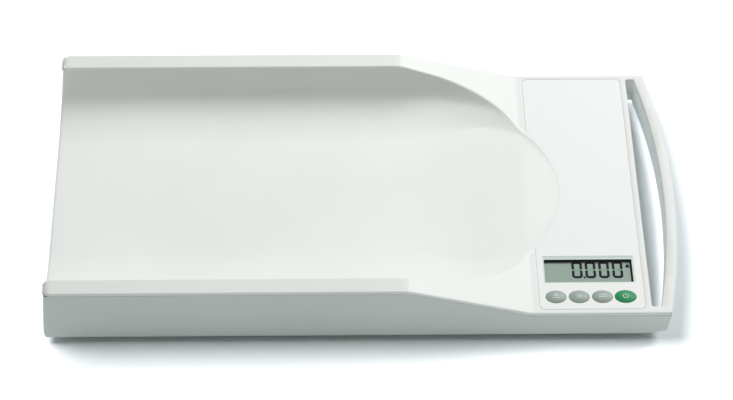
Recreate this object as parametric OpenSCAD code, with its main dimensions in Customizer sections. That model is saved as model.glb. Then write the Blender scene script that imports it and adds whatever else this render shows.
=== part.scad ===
// Digital baby weighing scale: a shallow tray with a console and a carry handle
// at the head end, standing on four feet that each press on a load cell.
// Frame: X runs from the open foot end to the handle, Y from the front (keys)
// to the back, Z up. The origin is under the middle, on the surface it stands on.

/* [Body] */
// Length from the foot of the open end to the tip of the handle
overall_l = 590; // [570:1:620]
// Width across the two long sides
overall_w = 320; // [310:1:335]
// Height of the rims beside the tray
rim_h = 65; // [58:0.5:72]
// Height of the flat console
console_h = 34.7; // [34.2:0.1:36.5]
// Gap between the underside of the base and the surface it stands on
stand_h = 6; // [5:0.1:6.5]
// Width of each flat rim
rim_w = 18.5; // [17:0.1:24]
// Length of the sloped shoulders between rim and console
shoulder_l = 113.7; // [100:0.1:125]
// Length of the console from the shoulders to the corners of the handle
console_l = 127; // [126:0.1:132]
// How far the open end leans out from top to bottom
end_lean = 3.5; // [1:0.1:5]
// Radius of the upright corners at the open end
corner_r = 5; // [2:0.5:8]
// Radius under the open end
heel_r = 5.5; // [2:0.1:7]
// Radius along the bottom edges of the long sides
edge_r = 3; // [1:0.5:4]
// Radius of the upward sweep under the handle end
sweep_r = 86; // [60:1:110]
// Thickness of the top cover
skin_t = 2.6; // [2.2:0.1:3]
// Thickness of the walls of the base
wall_t = 2.5; // [2:0.1:3]
// Thickness of the floor of the base
floor_t = 2.5; // [2:0.1:2.8]
// Height of the shadow line between cover and base
seam_gap = 0.6; // [0.3:0.1:1]
// Depth of the locating lip inside the cover's edge
lip_depth = 4; // [2:0.5:5]
// Thickness of the locating lip
lip_t = 1.6; // [1.2:0.1:2]
// Play between parts that slot together
fit_gap = 0.3; // [0.2:0.05:0.4]

/* [Tray] */
// Height of the flat middle of the tray
tray_z = 27; // [26:0.5:29]
// Radius of the curve from the middle of the tray up to its sides
bow_r = 136; // [125:1:145]
// Slope where that curve ends
bow_angle = 25; // [22:0.5:27]
// Radius at the foot of the steep sides
side_r = 10; // [4:0.5:14]
// Slope of the steep sides
side_angle = 64.4; // [60:0.1:68]
// Distance from the shoulders' foot back to the centre of the round head end
head_back = 80.7; // [78:0.1:84]
// Slope of the ramp at the head end
ramp_angle = 5; // [3:0.1:6]
// Length of the straight part of that ramp
ramp_l = 46.7; // [35:0.1:55]
// Length of the curved start of the ramp
ramp_start_l = 62; // [45:0.5:80]
// Fall of the console's shallow dish at the foot of the shoulders
dish_fall = 0.9; // [0.5:0.1:1.2]

/* [Handle] */
// Width of the handle bar
bar_w = 10.3; // [9:0.1:13]
// Bulge of the handle's outer edge between its corners
bar_bulge = 16; // [12:0.5:22]
// Bulge of the grip slot's curved edge
slot_bulge = 15.5; // [12:0.5:20]
// Width of the grip slot at its ends
slot_end_w = 8.2; // [6:0.1:10]
// Distance from the ends of the slot to the long sides
slot_side = 6.5; // [6:0.1:9]
// Height of the handle's underside
grip_z = 13; // [12:0.5:15]
// Inward lean of the handle's outer face over its height
bar_lean = 3; // [1:0.1:4]
// Wall around the grip slot
slot_wall = 2.2; // [1.8:0.1:2.6]

/* [Console] */
// Distance from the shoulders' foot to the overlay
overlay_in = 6.8; // [6:0.1:8]
// Length of the overlay along X
overlay_l = 96.3; // [95:0.1:97]
// Distance from the overlay's ends to the long sides
overlay_side = 6; // [5:0.1:8]
// Corner radius of the overlay
overlay_r = 5; // [2:0.5:8]
// Thickness of the overlay
overlay_t = 0.5; // [0.3:0.1:0.8]
// Gap round the overlay
overlay_gap = 0.3; // [0.2:0.05:0.5]
// Distance from the overlay's edge at the shoulders to the display window
window_in = 6; // [5:0.1:6.5]
// Length of the display window along X
window_l = 83.7; // [80:0.1:84]
// Width of the display window along Y
window_w = 33.7; // [31:0.1:34.5]
// Distance from the long side to the display window
window_side = 39; // [38.5:0.1:40]
// Thickness of the clear display lens
lens_t = 0.8; // [0.6:0.1:1]
// Thickness of the printed mask under the lens
mask_t = 0.3; // [0.2:0.1:0.4]
// Border of the mask beside the display, at its two ends
mask_end = 1.5; // [1:0.1:3]
// Border of the mask along the front of the display
mask_front = 1.3; // [1:0.1:2]
// Border of the mask along the back of the display
mask_back = 3.7; // [2.5:0.1:4]
// Depth of the liquid crystal glass below the console
glass_deep = 3.5; // [3:0.1:3.8]
// Thickness of the liquid crystal glass
glass_t = 2.8; // [2.4:0.1:3]

/* [Keys] */
// Length of a key along X
key_l = 18.7; // [16:0.1:19]
// Width of a key along Y
key_w = 15.3; // [13:0.1:15.8]
// How much larger the start key is
start_extra = 1; // [0:0.1:1.2]
// Distance between the centres of neighbouring keys
key_pitch = 21.3; // [21:0.1:21.8]
// Distance from the overlay's edge at the shoulders to the first key's centre
key_in = 15.2; // [14.5:0.1:16]
// Distance from the long side to the middle of the row of keys
key_side = 21.1; // [21:0.1:22]
// Height of a key's edge above the console
key_proud = 0.7; // [0.4:0.1:1.5]
// Crown of a key above its edge
key_crown = 0.7; // [0.3:0.1:1]
// Width of the flange that holds a key under the cover
key_flange = 0.8; // [0.5:0.05:0.9]
// Gap round a key in its hole
key_gap = 0.35; // [0.25:0.05:0.5]
// Travel of a key
key_travel = 0.8; // [0.5:0.1:1]

/* [Circuit board] */
// Depth of the board's top face below the console
board_deep = 10.2; // [10:0.1:10.5]
// Thickness of the board
board_t = 1.6; // [1:0.1:1.6]
// Length of the board along X
board_l = 96; // [95:0.5:97]
// Width of the board along Y
board_w = 71; // [69:0.5:72]
// Distance from the long side to the board
board_side = 13; // [12.5:0.1:13.5]
// Inset of the board's screws from its edges
board_hole_in = 5; // [4:0.1:5.5]

/* [Battery bay] */
// Diameter of one cell
cell_d = 14.2; // [13.5:0.1:14.5]
// Length of one cell without its nub
cell_l = 49.5; // [48:0.1:50.2]
// Pitch of the cells side by side
cell_pitch = 15.2; // [15:0.1:15.8]
// Room for the contacts at both ends of a cell together
contact_room = 5; // [4.5:0.1:6]
// Wall of the battery bay
bay_wall = 1.6; // [1.2:0.1:2]
// Distance from the shoulders' foot to the door's hinge axis
door_in = 26; // [24:0.5:29]
// Thickness of the battery door
door_t = 2; // [1.6:0.1:2.4]
// Gap round the battery door
door_gap = 0.4; // [0.3:0.05:0.6]
// Radius of the hinge barrel
barrel_r = 2.5; // [2.4:0.05:2.8]
// Radius of the hinge pins
pin_r = 1.25; // [1:0.05:1.4]
// Running clearance of the hinge pins
pin_gap = 0.07; // [0.05:0.01:0.1]
// Length of each hinge pin
pin_l = 5; // [3:0.5:6]

/* [Feet and load cells] */
// Distance from the open end to the centres of its feet
foot_in_open = 36; // [34:0.5:40]
// Distance from the shoulders' foot to the centres of the other feet
foot_in_head = 70; // [68:0.5:73]
// Distance from the long sides to the centres of the feet
foot_side = 36; // [35:0.5:38]
// Diameter of a foot's rubber pad
pad_d = 36; // [30:0.5:38]
// Thickness of the rubber pad
pad_t = 2.5; // [1.5:0.1:2.6]
// Rim of the foot cup round its pad
cup_rim = 2; // [1:0.1:2.5]
// Thickness of the foot cup
cup_t = 2; // [1.5:0.1:2.1]
// Diameter of the post that presses on the load cell
post_d = 10; // [8:0.1:11]
// Gap round that post in the floor of the base
post_gap = 1; // [0.5:0.1:1.5]
// Side of the square load cell
gauge_l = 34; // [30:0.1:34.5]
// Thickness of the load cell's plate
gauge_t = 2.5; // [2:0.1:3]
// Height of the load cell's seat above the floor of the base
seat_h = 3.5; // [3:0.1:4]
// Thickness of the clamp over the load cell
clamp_t = 3; // [2:0.1:3.2]
// Distance from the foot's centre to each clamp screw
clamp_screw_x = 22; // [21.5:0.1:23]

/* [Screws] */
// Diameter of a screw's shank in its pilot hole
screw_d = 2.6; // [2.2:0.1:2.9]
// Diameter of a screw's head
screw_head_d = 5.4; // [4.6:0.1:5.6]
// Height of a screw's head
screw_head_h = 2; // [1.6:0.1:2.2]
// Clearance hole for a screw
screw_hole_d = 3.3; // [3.1:0.1:3.5]
// Length of a screw under its head
screw_l = 12; // [9:0.5:13]
// Diameter of the base's screw towers
tower_d = 9; // [8.5:0.1:9.4]
// Height of the base's screw towers above the stand
tower_z = 20; // [18:0.5:21]
// Thickness of the web that a screw pulls on
tower_web = 3; // [2:0.1:4]
// Distance from the long sides to the screw towers
tower_side = 10; // [9:0.1:10.4]

/* [Stiffening and wiring] */
// Thickness of the base's ribs
rib_t = 1.8; // [1.2:0.1:2.5]
// Height of the base's ribs above its floor
rib_h = 4.5; // [3:0.1:5.5]
// Number of cross ribs
cross_ribs = 6; // [3:1:7]
// Clearance between the outermost long ribs and the load cells
rib_clear = 13; // [10:0.5:20]
// Diameter of the posts that carry the tray
rest_d = 14; // [8:0.5:18]
// Number of posts that carry the tray
rests = 4; // [2:1:5]
// Diameter of a load cell's lead
lead_d = 2.2; // [1.6:0.1:2.6]

/* [Hidden] */
$fn = 72;

slack = 0.01;
through = 225;
arc_fn = 360;
curve_steps = 12;
fillet_steps = 5;

// ---- places along X ----
open_x = -overall_l / 2;
tip_x = overall_l / 2;
corner_x = tip_x - bar_bulge;
crease_x = corner_x - console_l;
shoulder_x = crease_x - shoulder_l;
head_x = crease_x - head_back;
half_w = overall_w / 2;

// ---- heights ----
floor_top = stand_h + floor_t;
console_under = console_h - skin_t;
board_top = console_h - board_deep;
board_under = board_top - board_t;
seat_z = floor_top + seat_h;
gauge_top = seat_z + gauge_t;
clamp_top = gauge_top + clamp_t;
clamp_screw_l = clamp_t + 5;

// ---- tray profile: distance from the tray's middle line, height ----
tray_half = half_w - rim_w;
bow_run = bow_r * sin(bow_angle);
bow_rise = bow_r * (1 - cos(bow_angle));
turn_run = side_r * (sin(side_angle) - sin(bow_angle));
turn_rise = side_r * (cos(bow_angle) - cos(side_angle));
steep_rise = rim_h - tray_z - bow_rise - turn_rise;
steep_run = steep_rise / tan(side_angle);
flat_half = tray_half - steep_run - turn_run - bow_run;
over_rim = 30;
beyond = 20;

function bow_points() = [
    for (i = [0:curve_steps]) let (a = bow_angle * i / curve_steps)
        [flat_half + bow_r * sin(a), tray_z + bow_r * (1 - cos(a))]
];
function turn_points() = [
    for (i = [1:fillet_steps])
        let (a = bow_angle + (side_angle - bow_angle) * i / fillet_steps)
        [flat_half + bow_run + side_r * (sin(a) - sin(bow_angle)),
         tray_z + bow_rise + side_r * (cos(bow_angle) - cos(a))]
];
function tray_side() = concat(bow_points(), turn_points(),
    [[tray_half + over_rim / tan(side_angle), rim_h + over_rim]]);
function grown(points, out, drop) = [for (p = points) [p[0] + out, p[1] - drop]];

// Distance from the head's centre at which the tray meets the console
meet_r = flat_half + sqrt(pow(bow_r, 2) - pow(bow_r - (console_h - tray_z), 2));

// ---- ramp under the head ----
ramp_turn_r = ramp_start_l / sin(ramp_angle);
ramp_x0 = crease_x - ramp_l - ramp_start_l;
ramp_rise = ramp_turn_r * (1 - cos(ramp_angle)) + ramp_l * tan(ramp_angle);
dish_z = min(tray_z + ramp_rise, console_h - dish_fall);

// ---- handle and slot ----
sweep_back = 18;
handle_drop = 2;
slot_half = half_w - slot_side;
bar_solid = 8;
slot_x = corner_x - bar_w - slot_end_w + (bar_bulge - slot_bulge);
slot_tip_x = tip_x - bar_w;
slot_corner_x = slot_tip_x - slot_bulge;
bar_r = (pow(half_w, 2) + pow(bar_bulge, 2)) / (2 * bar_bulge);
slot_r = (pow(slot_half, 2) + pow(slot_bulge, 2)) / (2 * slot_bulge);
bar_cx = tip_x - bar_r;
slot_cx = slot_tip_x - slot_r;
sweep_x0 = slot_x - sweep_back;
inner_end_x = slot_x - slot_wall;

// ---- console ----
overlay_x0 = crease_x + overlay_in;
overlay_half = half_w - overlay_side;
recess_z = console_h - overlay_t;
window_x0 = overlay_x0 + window_in;
window_y0 = -half_w + window_side;
window_cx = window_x0 + window_l / 2;
window_cy = window_y0 + window_w / 2;
view_x0 = window_x0 + mask_end / 2;
view_l = window_l - 1.5 * mask_end;
view_y0 = window_y0 + mask_front;
view_w = window_w - mask_front - mask_back;
mask_top = console_h - lens_t;
holder_top = mask_top - mask_t;
glass_top = console_h - glass_deep;
glass_bottom = glass_top - glass_t;
holder_rim = 1.9;
glass_side = 0.6;

// ---- keys ----
key_y = -half_w + key_side;
function key_x(i) = overlay_x0 + key_in + i * key_pitch;
function key_a(i) = key_l / 2 + (i == 3 ? start_extra / 2 : 0);
function key_b(i) = key_w / 2 + (i == 3 ? start_extra / 6 : 0);
flange_t = 1.4;
flange_top = console_under - fit_gap;
flange_under = flange_top - flange_t;
switch_h = 3.4;
switch_l = 6.2;
switch_top = board_top + switch_h;
stem_r = 2.2;
stem_room = 0.5;
plunger_r = 1.7;
plunger_gap = 0.1;
plunger_in = 1.8;
bore_room = 0.2;
plunger_top = switch_top + key_travel + stem_room;
plunger_bottom = switch_top - plunger_in;
bore_bottom = plunger_bottom - key_travel - bore_room;

// ---- board ----
board_out = 1;
board_x0 = overlay_x0 - board_out;
board_y0 = -half_w + board_side;
board_boss_d = 5.5;
board_screw_l = board_t + 5;
key_row_hole = 20;
function board_holes() = [
    for (x = [board_x0 + board_hole_in, board_x0 + board_l - board_hole_in],
         y = [board_y0 + key_row_hole, board_y0 + board_w - board_hole_in]) [x, y]
];
socket_l = 5.8;
socket_w = 6;
socket_h = 4;
socket_pitch = 7;
socket_in = 4;
first_socket = 12;
socket_y1 = board_y0 + board_w - socket_in;
function socket_x(i) = board_x0 + first_socket + i * socket_pitch;
socket_mid_z = board_under - socket_h / 2;

// ---- battery bay ----
columns = 3;
row_play = 0.6;
bay_in = 3;
cell_lift = 0.4;
roof_room = 0.8;
door_short = 1;
latch_room = 6;
lug_end = 1.5;
pin_end_gap = 0.3;
door_x = crease_x + door_in;
door_axis_z = stand_h + barrel_r;
bay_x0 = door_x + barrel_r + bay_in;
bay_l = columns * cell_pitch + row_play;
bay_x1 = bay_x0 + bay_l;
row_l = cell_l + contact_room;
bay_half = row_l + bay_wall / 2;
cell_z = floor_top + cell_d / 2 + cell_lift;
bay_roof_z = cell_z + cell_d / 2 + roof_room;
door_half = bay_half - door_short;
door_end_x = bay_x1 + bay_wall + latch_room;
opening_x0 = door_x - barrel_r - door_gap;
opening_x1 = door_end_x + door_gap;
opening_half = door_half + door_gap;
barrel_half = door_half - door_short;
pin_end = opening_half + pin_l;

// ---- feet ----
function foot_at(x, side) = [x, side * (half_w - foot_side)];
foot_x_open = open_x + foot_in_open;
foot_x_head = crease_x + foot_in_head;
cup_d = pad_d + 2 * cup_rim;
clamp_in = 2;
foot_spots = [
    foot_at(foot_x_open, -1), foot_at(foot_x_open, 1),
    foot_at(foot_x_head, -1), foot_at(foot_x_head, 1)
];

// ---- ribs ----
rib_pitch = (half_w - foot_side - gauge_l / 2 - rib_clear) / 2;

// ---- screw towers ----
open_tower_in = 72;
second_tower_in = 215;
shoulder_tower_in = 20;
crease_tower_in = 12;
tower_y = half_w - tower_side;
end_tower_x = inner_end_x - tower_d / 2 - 1;
tower_x = [open_x + open_tower_in, open_x + second_tower_in,
           shoulder_x + shoulder_tower_in, crease_x - crease_tower_in];
end_tower_side = 7;
tower_base = 0.5;
well_gap = 0.3;
pilot_extra = 0.5;
function tower_spots() = [for (x = tower_x, s = [-1, 1]) [x, s * tower_y]];
function end_tower_spots() = [for (s = [-1, 1]) [end_tower_x, s * (half_w - end_tower_side)]];
boss_d = 8;
web_z = tower_z - tower_web;

// ---- colours ----
shell_white = [0.93, 0.94, 0.93];
base_grey = [0.80, 0.83, 0.81];
key_grey = [0.62, 0.69, 0.66];
start_green = [0.10, 0.55, 0.28];

// ================= shared shapes =================

// Everything above the top face: over rims, shoulders and console
module above_top(drop) {
    sky = rim_h + 2 * over_rim;
    rotate([90, 0, 0]) translate([0, 0, -half_w - beyond])
        linear_extrude(overall_w + 2 * beyond)
        polygon([
            [open_x - beyond, rim_h - drop], [shoulder_x, rim_h - drop],
            [crease_x, console_h - drop], [tip_x + beyond, console_h - drop],
            [tip_x + beyond, sky], [open_x - beyond, sky]
        ]);
}

// What stays solid under the head end of the tray
module ramp_fill(drop) {
    below = tray_z - drop - 8;
    rotate([90, 0, 0]) translate([0, 0, -half_w]) linear_extrude(overall_w)
        polygon(concat(
            [[ramp_x0, below]],
            [for (i = [0:curve_steps]) let (a = ramp_angle * i / curve_steps)
                [ramp_x0 + ramp_turn_r * sin(a),
                 tray_z - drop + ramp_turn_r * (1 - cos(a))]],
            [[crease_x, dish_z - drop], [crease_x + head_back, console_h - drop],
             [crease_x + head_back, below]]
        ));
}

// The hollow of the tray, grown outwards and lowered for the underside of its skin
module tray_hollow(out, drop) {
    side = grown(tray_side(), out, drop);
    top = rim_h + over_rim - drop;
    difference() {
        union() {
            translate([open_x - beyond, 0, 0]) rotate([90, 0, 90])
                linear_extrude(head_x - open_x + beyond)
                polygon(concat(
                    side,
                    [for (i = [len(side) - 1:-1:0]) [-side[i][0], side[i][1]]]
                ));
            translate([head_x, 0, 0]) rotate([0, 0, -90]) rotate_extrude(angle = 180)
                polygon(concat([[0, side[0][1]]], side, [[0, top]]));
        }
        ramp_fill(drop);
    }
}

module open_space(out, drop) {
    above_top(drop);
    tray_hollow(out, drop);
}

// Plan of the body, with its handle end left long
module long_plan(inset) {
    r = max(corner_r - inset, 0.5);
    x0 = open_x + inset;
    y0 = half_w - inset;
    translate([x0 + r, -y0]) square([overall_l + beyond, 2 * y0]);
    translate([x0, -y0 + r]) square([2 * r, 2 * (y0 - r)]);
    for (s = [-1, 1]) translate([x0 + r, s * (y0 - r)]) circle(r = r);
}

// Cross section of the body, with rounded bottom edges
module section(inset, floor_z, top) {
    r = max(edge_r - inset, 0.5);
    y0 = half_w - inset;
    translate([-y0 + r, floor_z]) square([2 * (y0 - r), top - floor_z]);
    translate([-y0, floor_z + r]) square([2 * y0, top - floor_z - r]);
    for (s = [-1, 1]) translate([s * (y0 - r), floor_z + r]) circle(r = r);
}

module slot_plan(out) {
    intersection() {
        translate([slot_x - out, -slot_half - out])
            square([overall_l, 2 * (slot_half + out)]);
        translate([slot_cx, 0]) circle(r = slot_r + out, $fn = arc_fn);
    }
}

// Side view of the body: leaning open end, rounded heel, sweep under the handle
module side_view(inset, floor_z) {
    heel = max(heel_r - inset, 0.5);
    upright = rim_h - stand_h - heel_r;
    top = rim_h + over_rim;
    top_lean = end_lean * (top - floor_z - heel) / upright;
    sweep_top = grip_z - handle_drop + inset;
    sweep_max = acos(1 - (sweep_top - floor_z) / sweep_r);
    polygon(concat(
        [[open_x + inset + top_lean, top]],
        [for (i = [0:fillet_steps]) let (a = 90 * i / fillet_steps)
            [open_x + inset + heel * (1 - cos(a)), floor_z + heel * (1 - sin(a))]],
        [for (i = [0:fillet_steps]) let (a = sweep_max * i / fillet_steps)
            [sweep_x0 + sweep_r * sin(a), floor_z + sweep_r * (1 - cos(a))]],
        [[tip_x + beyond, sweep_top], [tip_x + beyond, top]]
    ));
}

// Solid block of the body, or the block of its hollow
module body_block(inset, floor_z) {
    top = rim_h + over_rim;
    lean = bar_lean / (console_h - grip_z);
    intersection() {
        rotate([90, 0, 0]) translate([0, 0, -half_w - beyond])
            linear_extrude(overall_w + 2 * beyond) side_view(inset, floor_z);
        linear_extrude(top) long_plan(inset);
        translate([open_x - beyond, 0, 0]) rotate([90, 0, 90])
            linear_extrude(overall_l + 2 * beyond) section(inset, floor_z, top);
        // curved end of the handle, leaning inwards to its foot
        translate([bar_cx, 0, 0])
            cylinder(h = top, r1 = bar_r - inset - lean * console_h,
                     r2 = bar_r - inset + lean * (top - console_h), $fn = arc_fn);
    }
}

// Ellipse drawn point by point
module oval(a, b) {
    sides = 48;
    polygon([for (i = [0:sides - 1]) let (t = 360 * i / sides) [a * cos(t), b * sin(t)]]);
}

module rounded_rect(x0, y0, l, w, r) {
    translate([x0 + r, y0]) square([l - 2 * r, w]);
    translate([x0, y0 + r]) square([l, w - 2 * r]);
    for (x = [x0 + r, x0 + l - r], y = [y0 + r, y0 + w - r])
        translate([x, y]) circle(r = r);
}

module overlay_plan(out) {
    difference() {
        rounded_rect(overlay_x0 - out, -overlay_half - out, overlay_l + 2 * out,
                     2 * (overlay_half + out), overlay_r + out);
        translate([head_x, 0]) circle(r = meet_r + 1 - out, $fn = 180);
    }
}

module window_plan(out) {
    translate([window_x0 - out, window_y0 - out])
        square([window_l + 2 * out, window_w + 2 * out]);
}

module view_plan() {
    translate([view_x0, view_y0]) square([view_l, view_w]);
}

module key_plans(out) {
    for (i = [0:3]) translate([key_x(i), key_y]) oval(key_a(i) + out, key_b(i) + out);
}

// A screw standing on its head's underside at z = 0, with a cross recess in its head
module screw(length) {
    recess_l = 3;
    recess_w = 0.9;
    recess_deep = 1;
    difference() {
        union() {
            translate([0, 0, -screw_head_h]) cylinder(h = screw_head_h, d = screw_head_d);
            cylinder(h = length, d = screw_d - 0.1);
        }
        for (a = [0, 90]) rotate([0, 0, a])
            translate([-recess_l / 2, -recess_w / 2, -screw_head_h - slack])
                cube([recess_l, recess_w, recess_deep + slack]);
    }
}

// A wire swept along its path; a lead's corners are rounded first
bend_r = 3.5;
bend_share = 0.45;   // the most of a leg that a bend may take
bend_steps = 3;
function unit(v) = v / norm(v);
function rounded_route(p) = [
    for (i = [0:len(p) - 1])
        each (i == 0 || i == len(p) - 1) ? [p[i]] :
            let (bend = min(bend_r, bend_share * norm(p[i - 1] - p[i]), bend_share * norm(p[i + 1] - p[i])),
                 a = p[i] + bend * unit(p[i - 1] - p[i]), c = p[i] + bend * unit(p[i + 1] - p[i]))
            [for (k = [0:bend_steps]) let (t = k / bend_steps)
                (1 - t) * (1 - t) * a + 2 * t * (1 - t) * p[i] + t * t * c]
];
function heading(p, i) = unit(p[min(i + 1, len(p) - 1)] - p[max(i - 1, 0)]);
function across(t) = unit(cross(t, [0.31, 0.17, 0.93]));
function ring(p, t, r, w) = [
    for (k = [0:w - 1]) let (a = 360 * k / w)
        p + r * (cos(a) * across(t) + sin(a) * cross(t, across(t)))
];
module tube(path, r, w) {
    n = len(path);
    last = w * (n - 1);
    points = [for (i = [0:n - 1]) each ring(path[i], heading(path, i), r, w)];
    sides = [for (i = [0:n - 2], k = [0:w - 1]) let (m = (k + 1) % w, a = w * i)
        each [[a + w + m, a + m, a + k], [a + w + k, a + w + m, a + k]]];
    ends = [for (k = [1:w - 2]) each [[k, k + 1, 0], [last + k + 1, last + k, last]]];
    polyhedron(points, concat(sides, ends));
}
module lead(route) {
    color("gray") tube(rounded_route(route), lead_d / 2, 8);
}

// ================= shells =================

// What lies inside the base's walls, up to the inner end of the console
module inside_walls(gap, floor_z) {
    intersection() {
        body_block(wall_t + gap, floor_z);
        translate([open_x, -half_w, 0])
            cube([inner_end_x - gap - open_x, overall_w, rim_h + over_rim]);
    }
}

module cover_lip() {
    intersection() {
        difference() {
            inside_walls(fit_gap, floor_top + 1);
            inside_walls(fit_gap + lip_t, floor_top);
        }
        open_space(skin_t, skin_t + lip_depth);
    }
}

module cover_bosses() {
    for (p = concat(tower_spots(), end_tower_spots()))
        translate([p[0], p[1], tower_z]) cylinder(h = rim_h, d = boss_d);
    for (p = board_holes())
        translate([p[0], p[1], board_top]) cylinder(h = rim_h, d = board_boss_d);
}

module top_cover() {
    color(shell_white) difference() {
        union() {
            intersection() {
                body_block(0, stand_h);
                open_space(skin_t, skin_t);
            }
            cover_lip();
            intersection() {
                cover_bosses();
                inside_walls(fit_gap, floor_top);
            }
        }
        open_space(0, 0);
        translate([0, 0, -1]) linear_extrude(through) slot_plan(0);
        translate([0, 0, recess_z]) linear_extrude(through) overlay_plan(overlay_gap);
        translate([0, 0, console_under - 1]) linear_extrude(through) {
            window_plan(fit_gap / 2);
            key_plans(key_gap);
        }
        for (p = concat(tower_spots(), end_tower_spots()))
            translate([p[0], p[1], web_z])
                cylinder(h = screw_l + pilot_extra, d = screw_d);
        for (p = board_holes())
            translate([p[0], p[1], board_under])
                cylinder(h = board_screw_l + pilot_extra, d = screw_d);
    }
}

module base_hollow() {
    inside_walls(0, floor_top);
    // channel inside the handle bar
    translate([0, 0, grip_z + slot_wall]) linear_extrude(through) intersection() {
        difference() {
            translate([bar_cx, 0]) circle(r = bar_r - wall_t - 1, $fn = arc_fn);
            translate([slot_cx, 0]) circle(r = slot_r + slot_wall, $fn = arc_fn);
        }
        translate([slot_x, -slot_half + bar_solid])
            square([overall_l, 2 * (slot_half - bar_solid)]);
    }
}

module base_ribs() {
    rib_x0 = open_x + wall_t;
    rib_x1 = door_x - barrel_r - 6;
    first_cross = 90;
    last_cross = 10;
    span = rib_x1 - rib_x0 - first_cross - last_cross;
    for (k = [-2:2])
        translate([rib_x0, k * rib_pitch - rib_t / 2, floor_top - slack])
            cube([rib_x1 - rib_x0, rib_t, rib_h]);
    for (i = [0:cross_ribs - 1])
        translate([rib_x0 + first_cross + span * i / (cross_ribs - 1), -half_w + wall_t / 2,
                   floor_top - slack])
            cube([rib_t, overall_w - wall_t, rib_h]);
}

module base_rests() {
    first_rest_in = 60;
    first_x = open_x + first_rest_in;
    last_x = ramp_x0 - rest_d;
    for (i = [0:rests - 1])
        translate([first_x + (last_x - first_x) * i / (rests - 1), 0, floor_top - slack])
            cylinder(h = tray_z - skin_t - fit_gap / 2 - floor_top + slack, d = rest_d);
}

module cell_seat() {
    seat_l = gauge_l + 2;
    seat_hole = gauge_l - 7;
    clamp_post_d = 9;
    web_w = 6;
    translate([0, 0, floor_top - slack]) linear_extrude(seat_h + slack) difference() {
        square(seat_l, center = true);
        square(seat_hole, center = true);
    }
    for (s = [-1, 1]) translate([s * clamp_screw_x, 0, floor_top - slack])
        cylinder(h = gauge_top - floor_top + slack, d = clamp_post_d);
    // webs that join the posts to the seat
    for (s = [0, 1]) mirror([s, 0, 0])
        translate([seat_l / 2 - 1, -web_w / 2, floor_top - slack])
            cube([clamp_screw_x - seat_l / 2 + 1, web_w, seat_h + slack]);
}

module hinge_lugs() {
    lug_half = pin_r + 2;
    lug_l = pin_l + lug_end;
    lug_top = door_axis_z + lug_half;
    for (s = [-1, 1])
        translate([door_x - lug_half, s > 0 ? opening_half : -opening_half - lug_l,
                   floor_top - slack])
            cube([2 * lug_half, lug_l, lug_top - floor_top]);
}

module base_shell() {
    color(base_grey) difference() {
        union() {
            difference() {
                body_block(0, stand_h);
                base_hollow();
            }
            base_ribs();
            base_rests();
            hinge_lugs();
            for (f = foot_spots) translate([f[0], f[1], 0]) cell_seat();
            for (p = concat(tower_spots(), end_tower_spots()))
                translate([p[0], p[1], stand_h + tower_base])
                    cylinder(h = tower_z - fit_gap / 2 - stand_h - tower_base, d = tower_d);
        }
        open_space(skin_t + seam_gap, skin_t + seam_gap);
        translate([0, 0, -1]) linear_extrude(through) slot_plan(0);
        // finger room under the handle
        translate([slot_x, -half_w + wall_t, -1])
            cube([through, overall_w - 2 * wall_t, grip_z + 1]);
        // battery opening and hinge pin holes
        translate([opening_x0, -opening_half, stand_h - 1])
            cube([opening_x1 - opening_x0, 2 * opening_half, floor_t + 1 + slack]);
        for (s = [-1, 1]) translate([door_x, s * barrel_half, door_axis_z])
            rotate([-90 * s, 0, 0])
                cylinder(h = pin_end + pin_end_gap - barrel_half, r = pin_r + pin_gap);
        // posts of the feet, clamp screws
        for (f = foot_spots) translate([f[0], f[1], 0]) {
            translate([0, 0, stand_h - 1]) cylinder(h = floor_t + 2, d = post_d + 2 * post_gap);
            for (s = [-1, 1]) translate([s * clamp_screw_x, 0, clamp_top - clamp_screw_l - pilot_extra])
                cylinder(h = clamp_screw_l, d = screw_d);
        }
        // housing screws
        for (p = concat(tower_spots(), end_tower_spots())) {
            translate([p[0], p[1], 0]) cylinder(h = tower_z + 1, d = screw_hole_d);
            translate([p[0], p[1], 0]) cylinder(h = web_z, d = screw_head_d + 2 * well_gap);
        }
    }
}

// ================= console =================

module console_overlay() {
    color([0.95, 0.96, 0.95]) translate([0, 0, recess_z]) linear_extrude(overlay_t)
        difference() {
            overlay_plan(0);
            window_plan(fit_gap / 2);
            key_plans(key_gap);
        }
}

module display_lens() {
    color([0.9, 0.95, 0.93, 0.4]) translate([0, 0, mask_top]) linear_extrude(lens_t)
        window_plan(0);
}

module display_mask() {
    color([0.80, 0.86, 0.83]) translate([0, 0, holder_top]) linear_extrude(mask_t)
        difference() {
            window_plan(0);
            view_plan();
        }
}

module display_holder() {
    outer_l = window_l + 2 * holder_rim;
    outer_w = window_w + 2 * holder_rim;
    color([0.10, 0.12, 0.16]) difference() {
        union() {
            translate([window_cx - outer_l / 2, window_cy - outer_w / 2, board_top])
                cube([outer_l, outer_w, console_under - board_top]);
            translate([0, 0, console_under - slack])
                linear_extrude(holder_top - console_under + slack) window_plan(0);
        }
        translate([0, 0, board_top - 1]) linear_extrude(glass_top - board_top + 1)
            window_plan(glass_side + 0.1);
        translate([0, 0, board_top]) linear_extrude(through) view_plan();
    }
}

module display_glass() {
    color([0.66, 0.73, 0.69]) translate([0, 0, glass_bottom]) linear_extrude(glass_t)
        window_plan(glass_side);
}

module contact_strips() {
    strip_w = 2.4;
    color("dimgray") for (s = [-1, 1])
        translate([window_x0 + 1, window_cy + s * (window_w / 2 - strip_w / 2) - strip_w / 2,
                   board_top])
            cube([window_l - 2, strip_w, glass_bottom - board_top]);
}

module main_board() {
    color([0.05, 0.35, 0.18]) difference() {
        translate([board_x0, board_y0, board_under]) cube([board_l, board_w, board_t]);
        for (p = board_holes()) translate([p[0], p[1], board_under - 1])
            cylinder(h = board_t + 2, d = screw_hole_d);
    }
}

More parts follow.
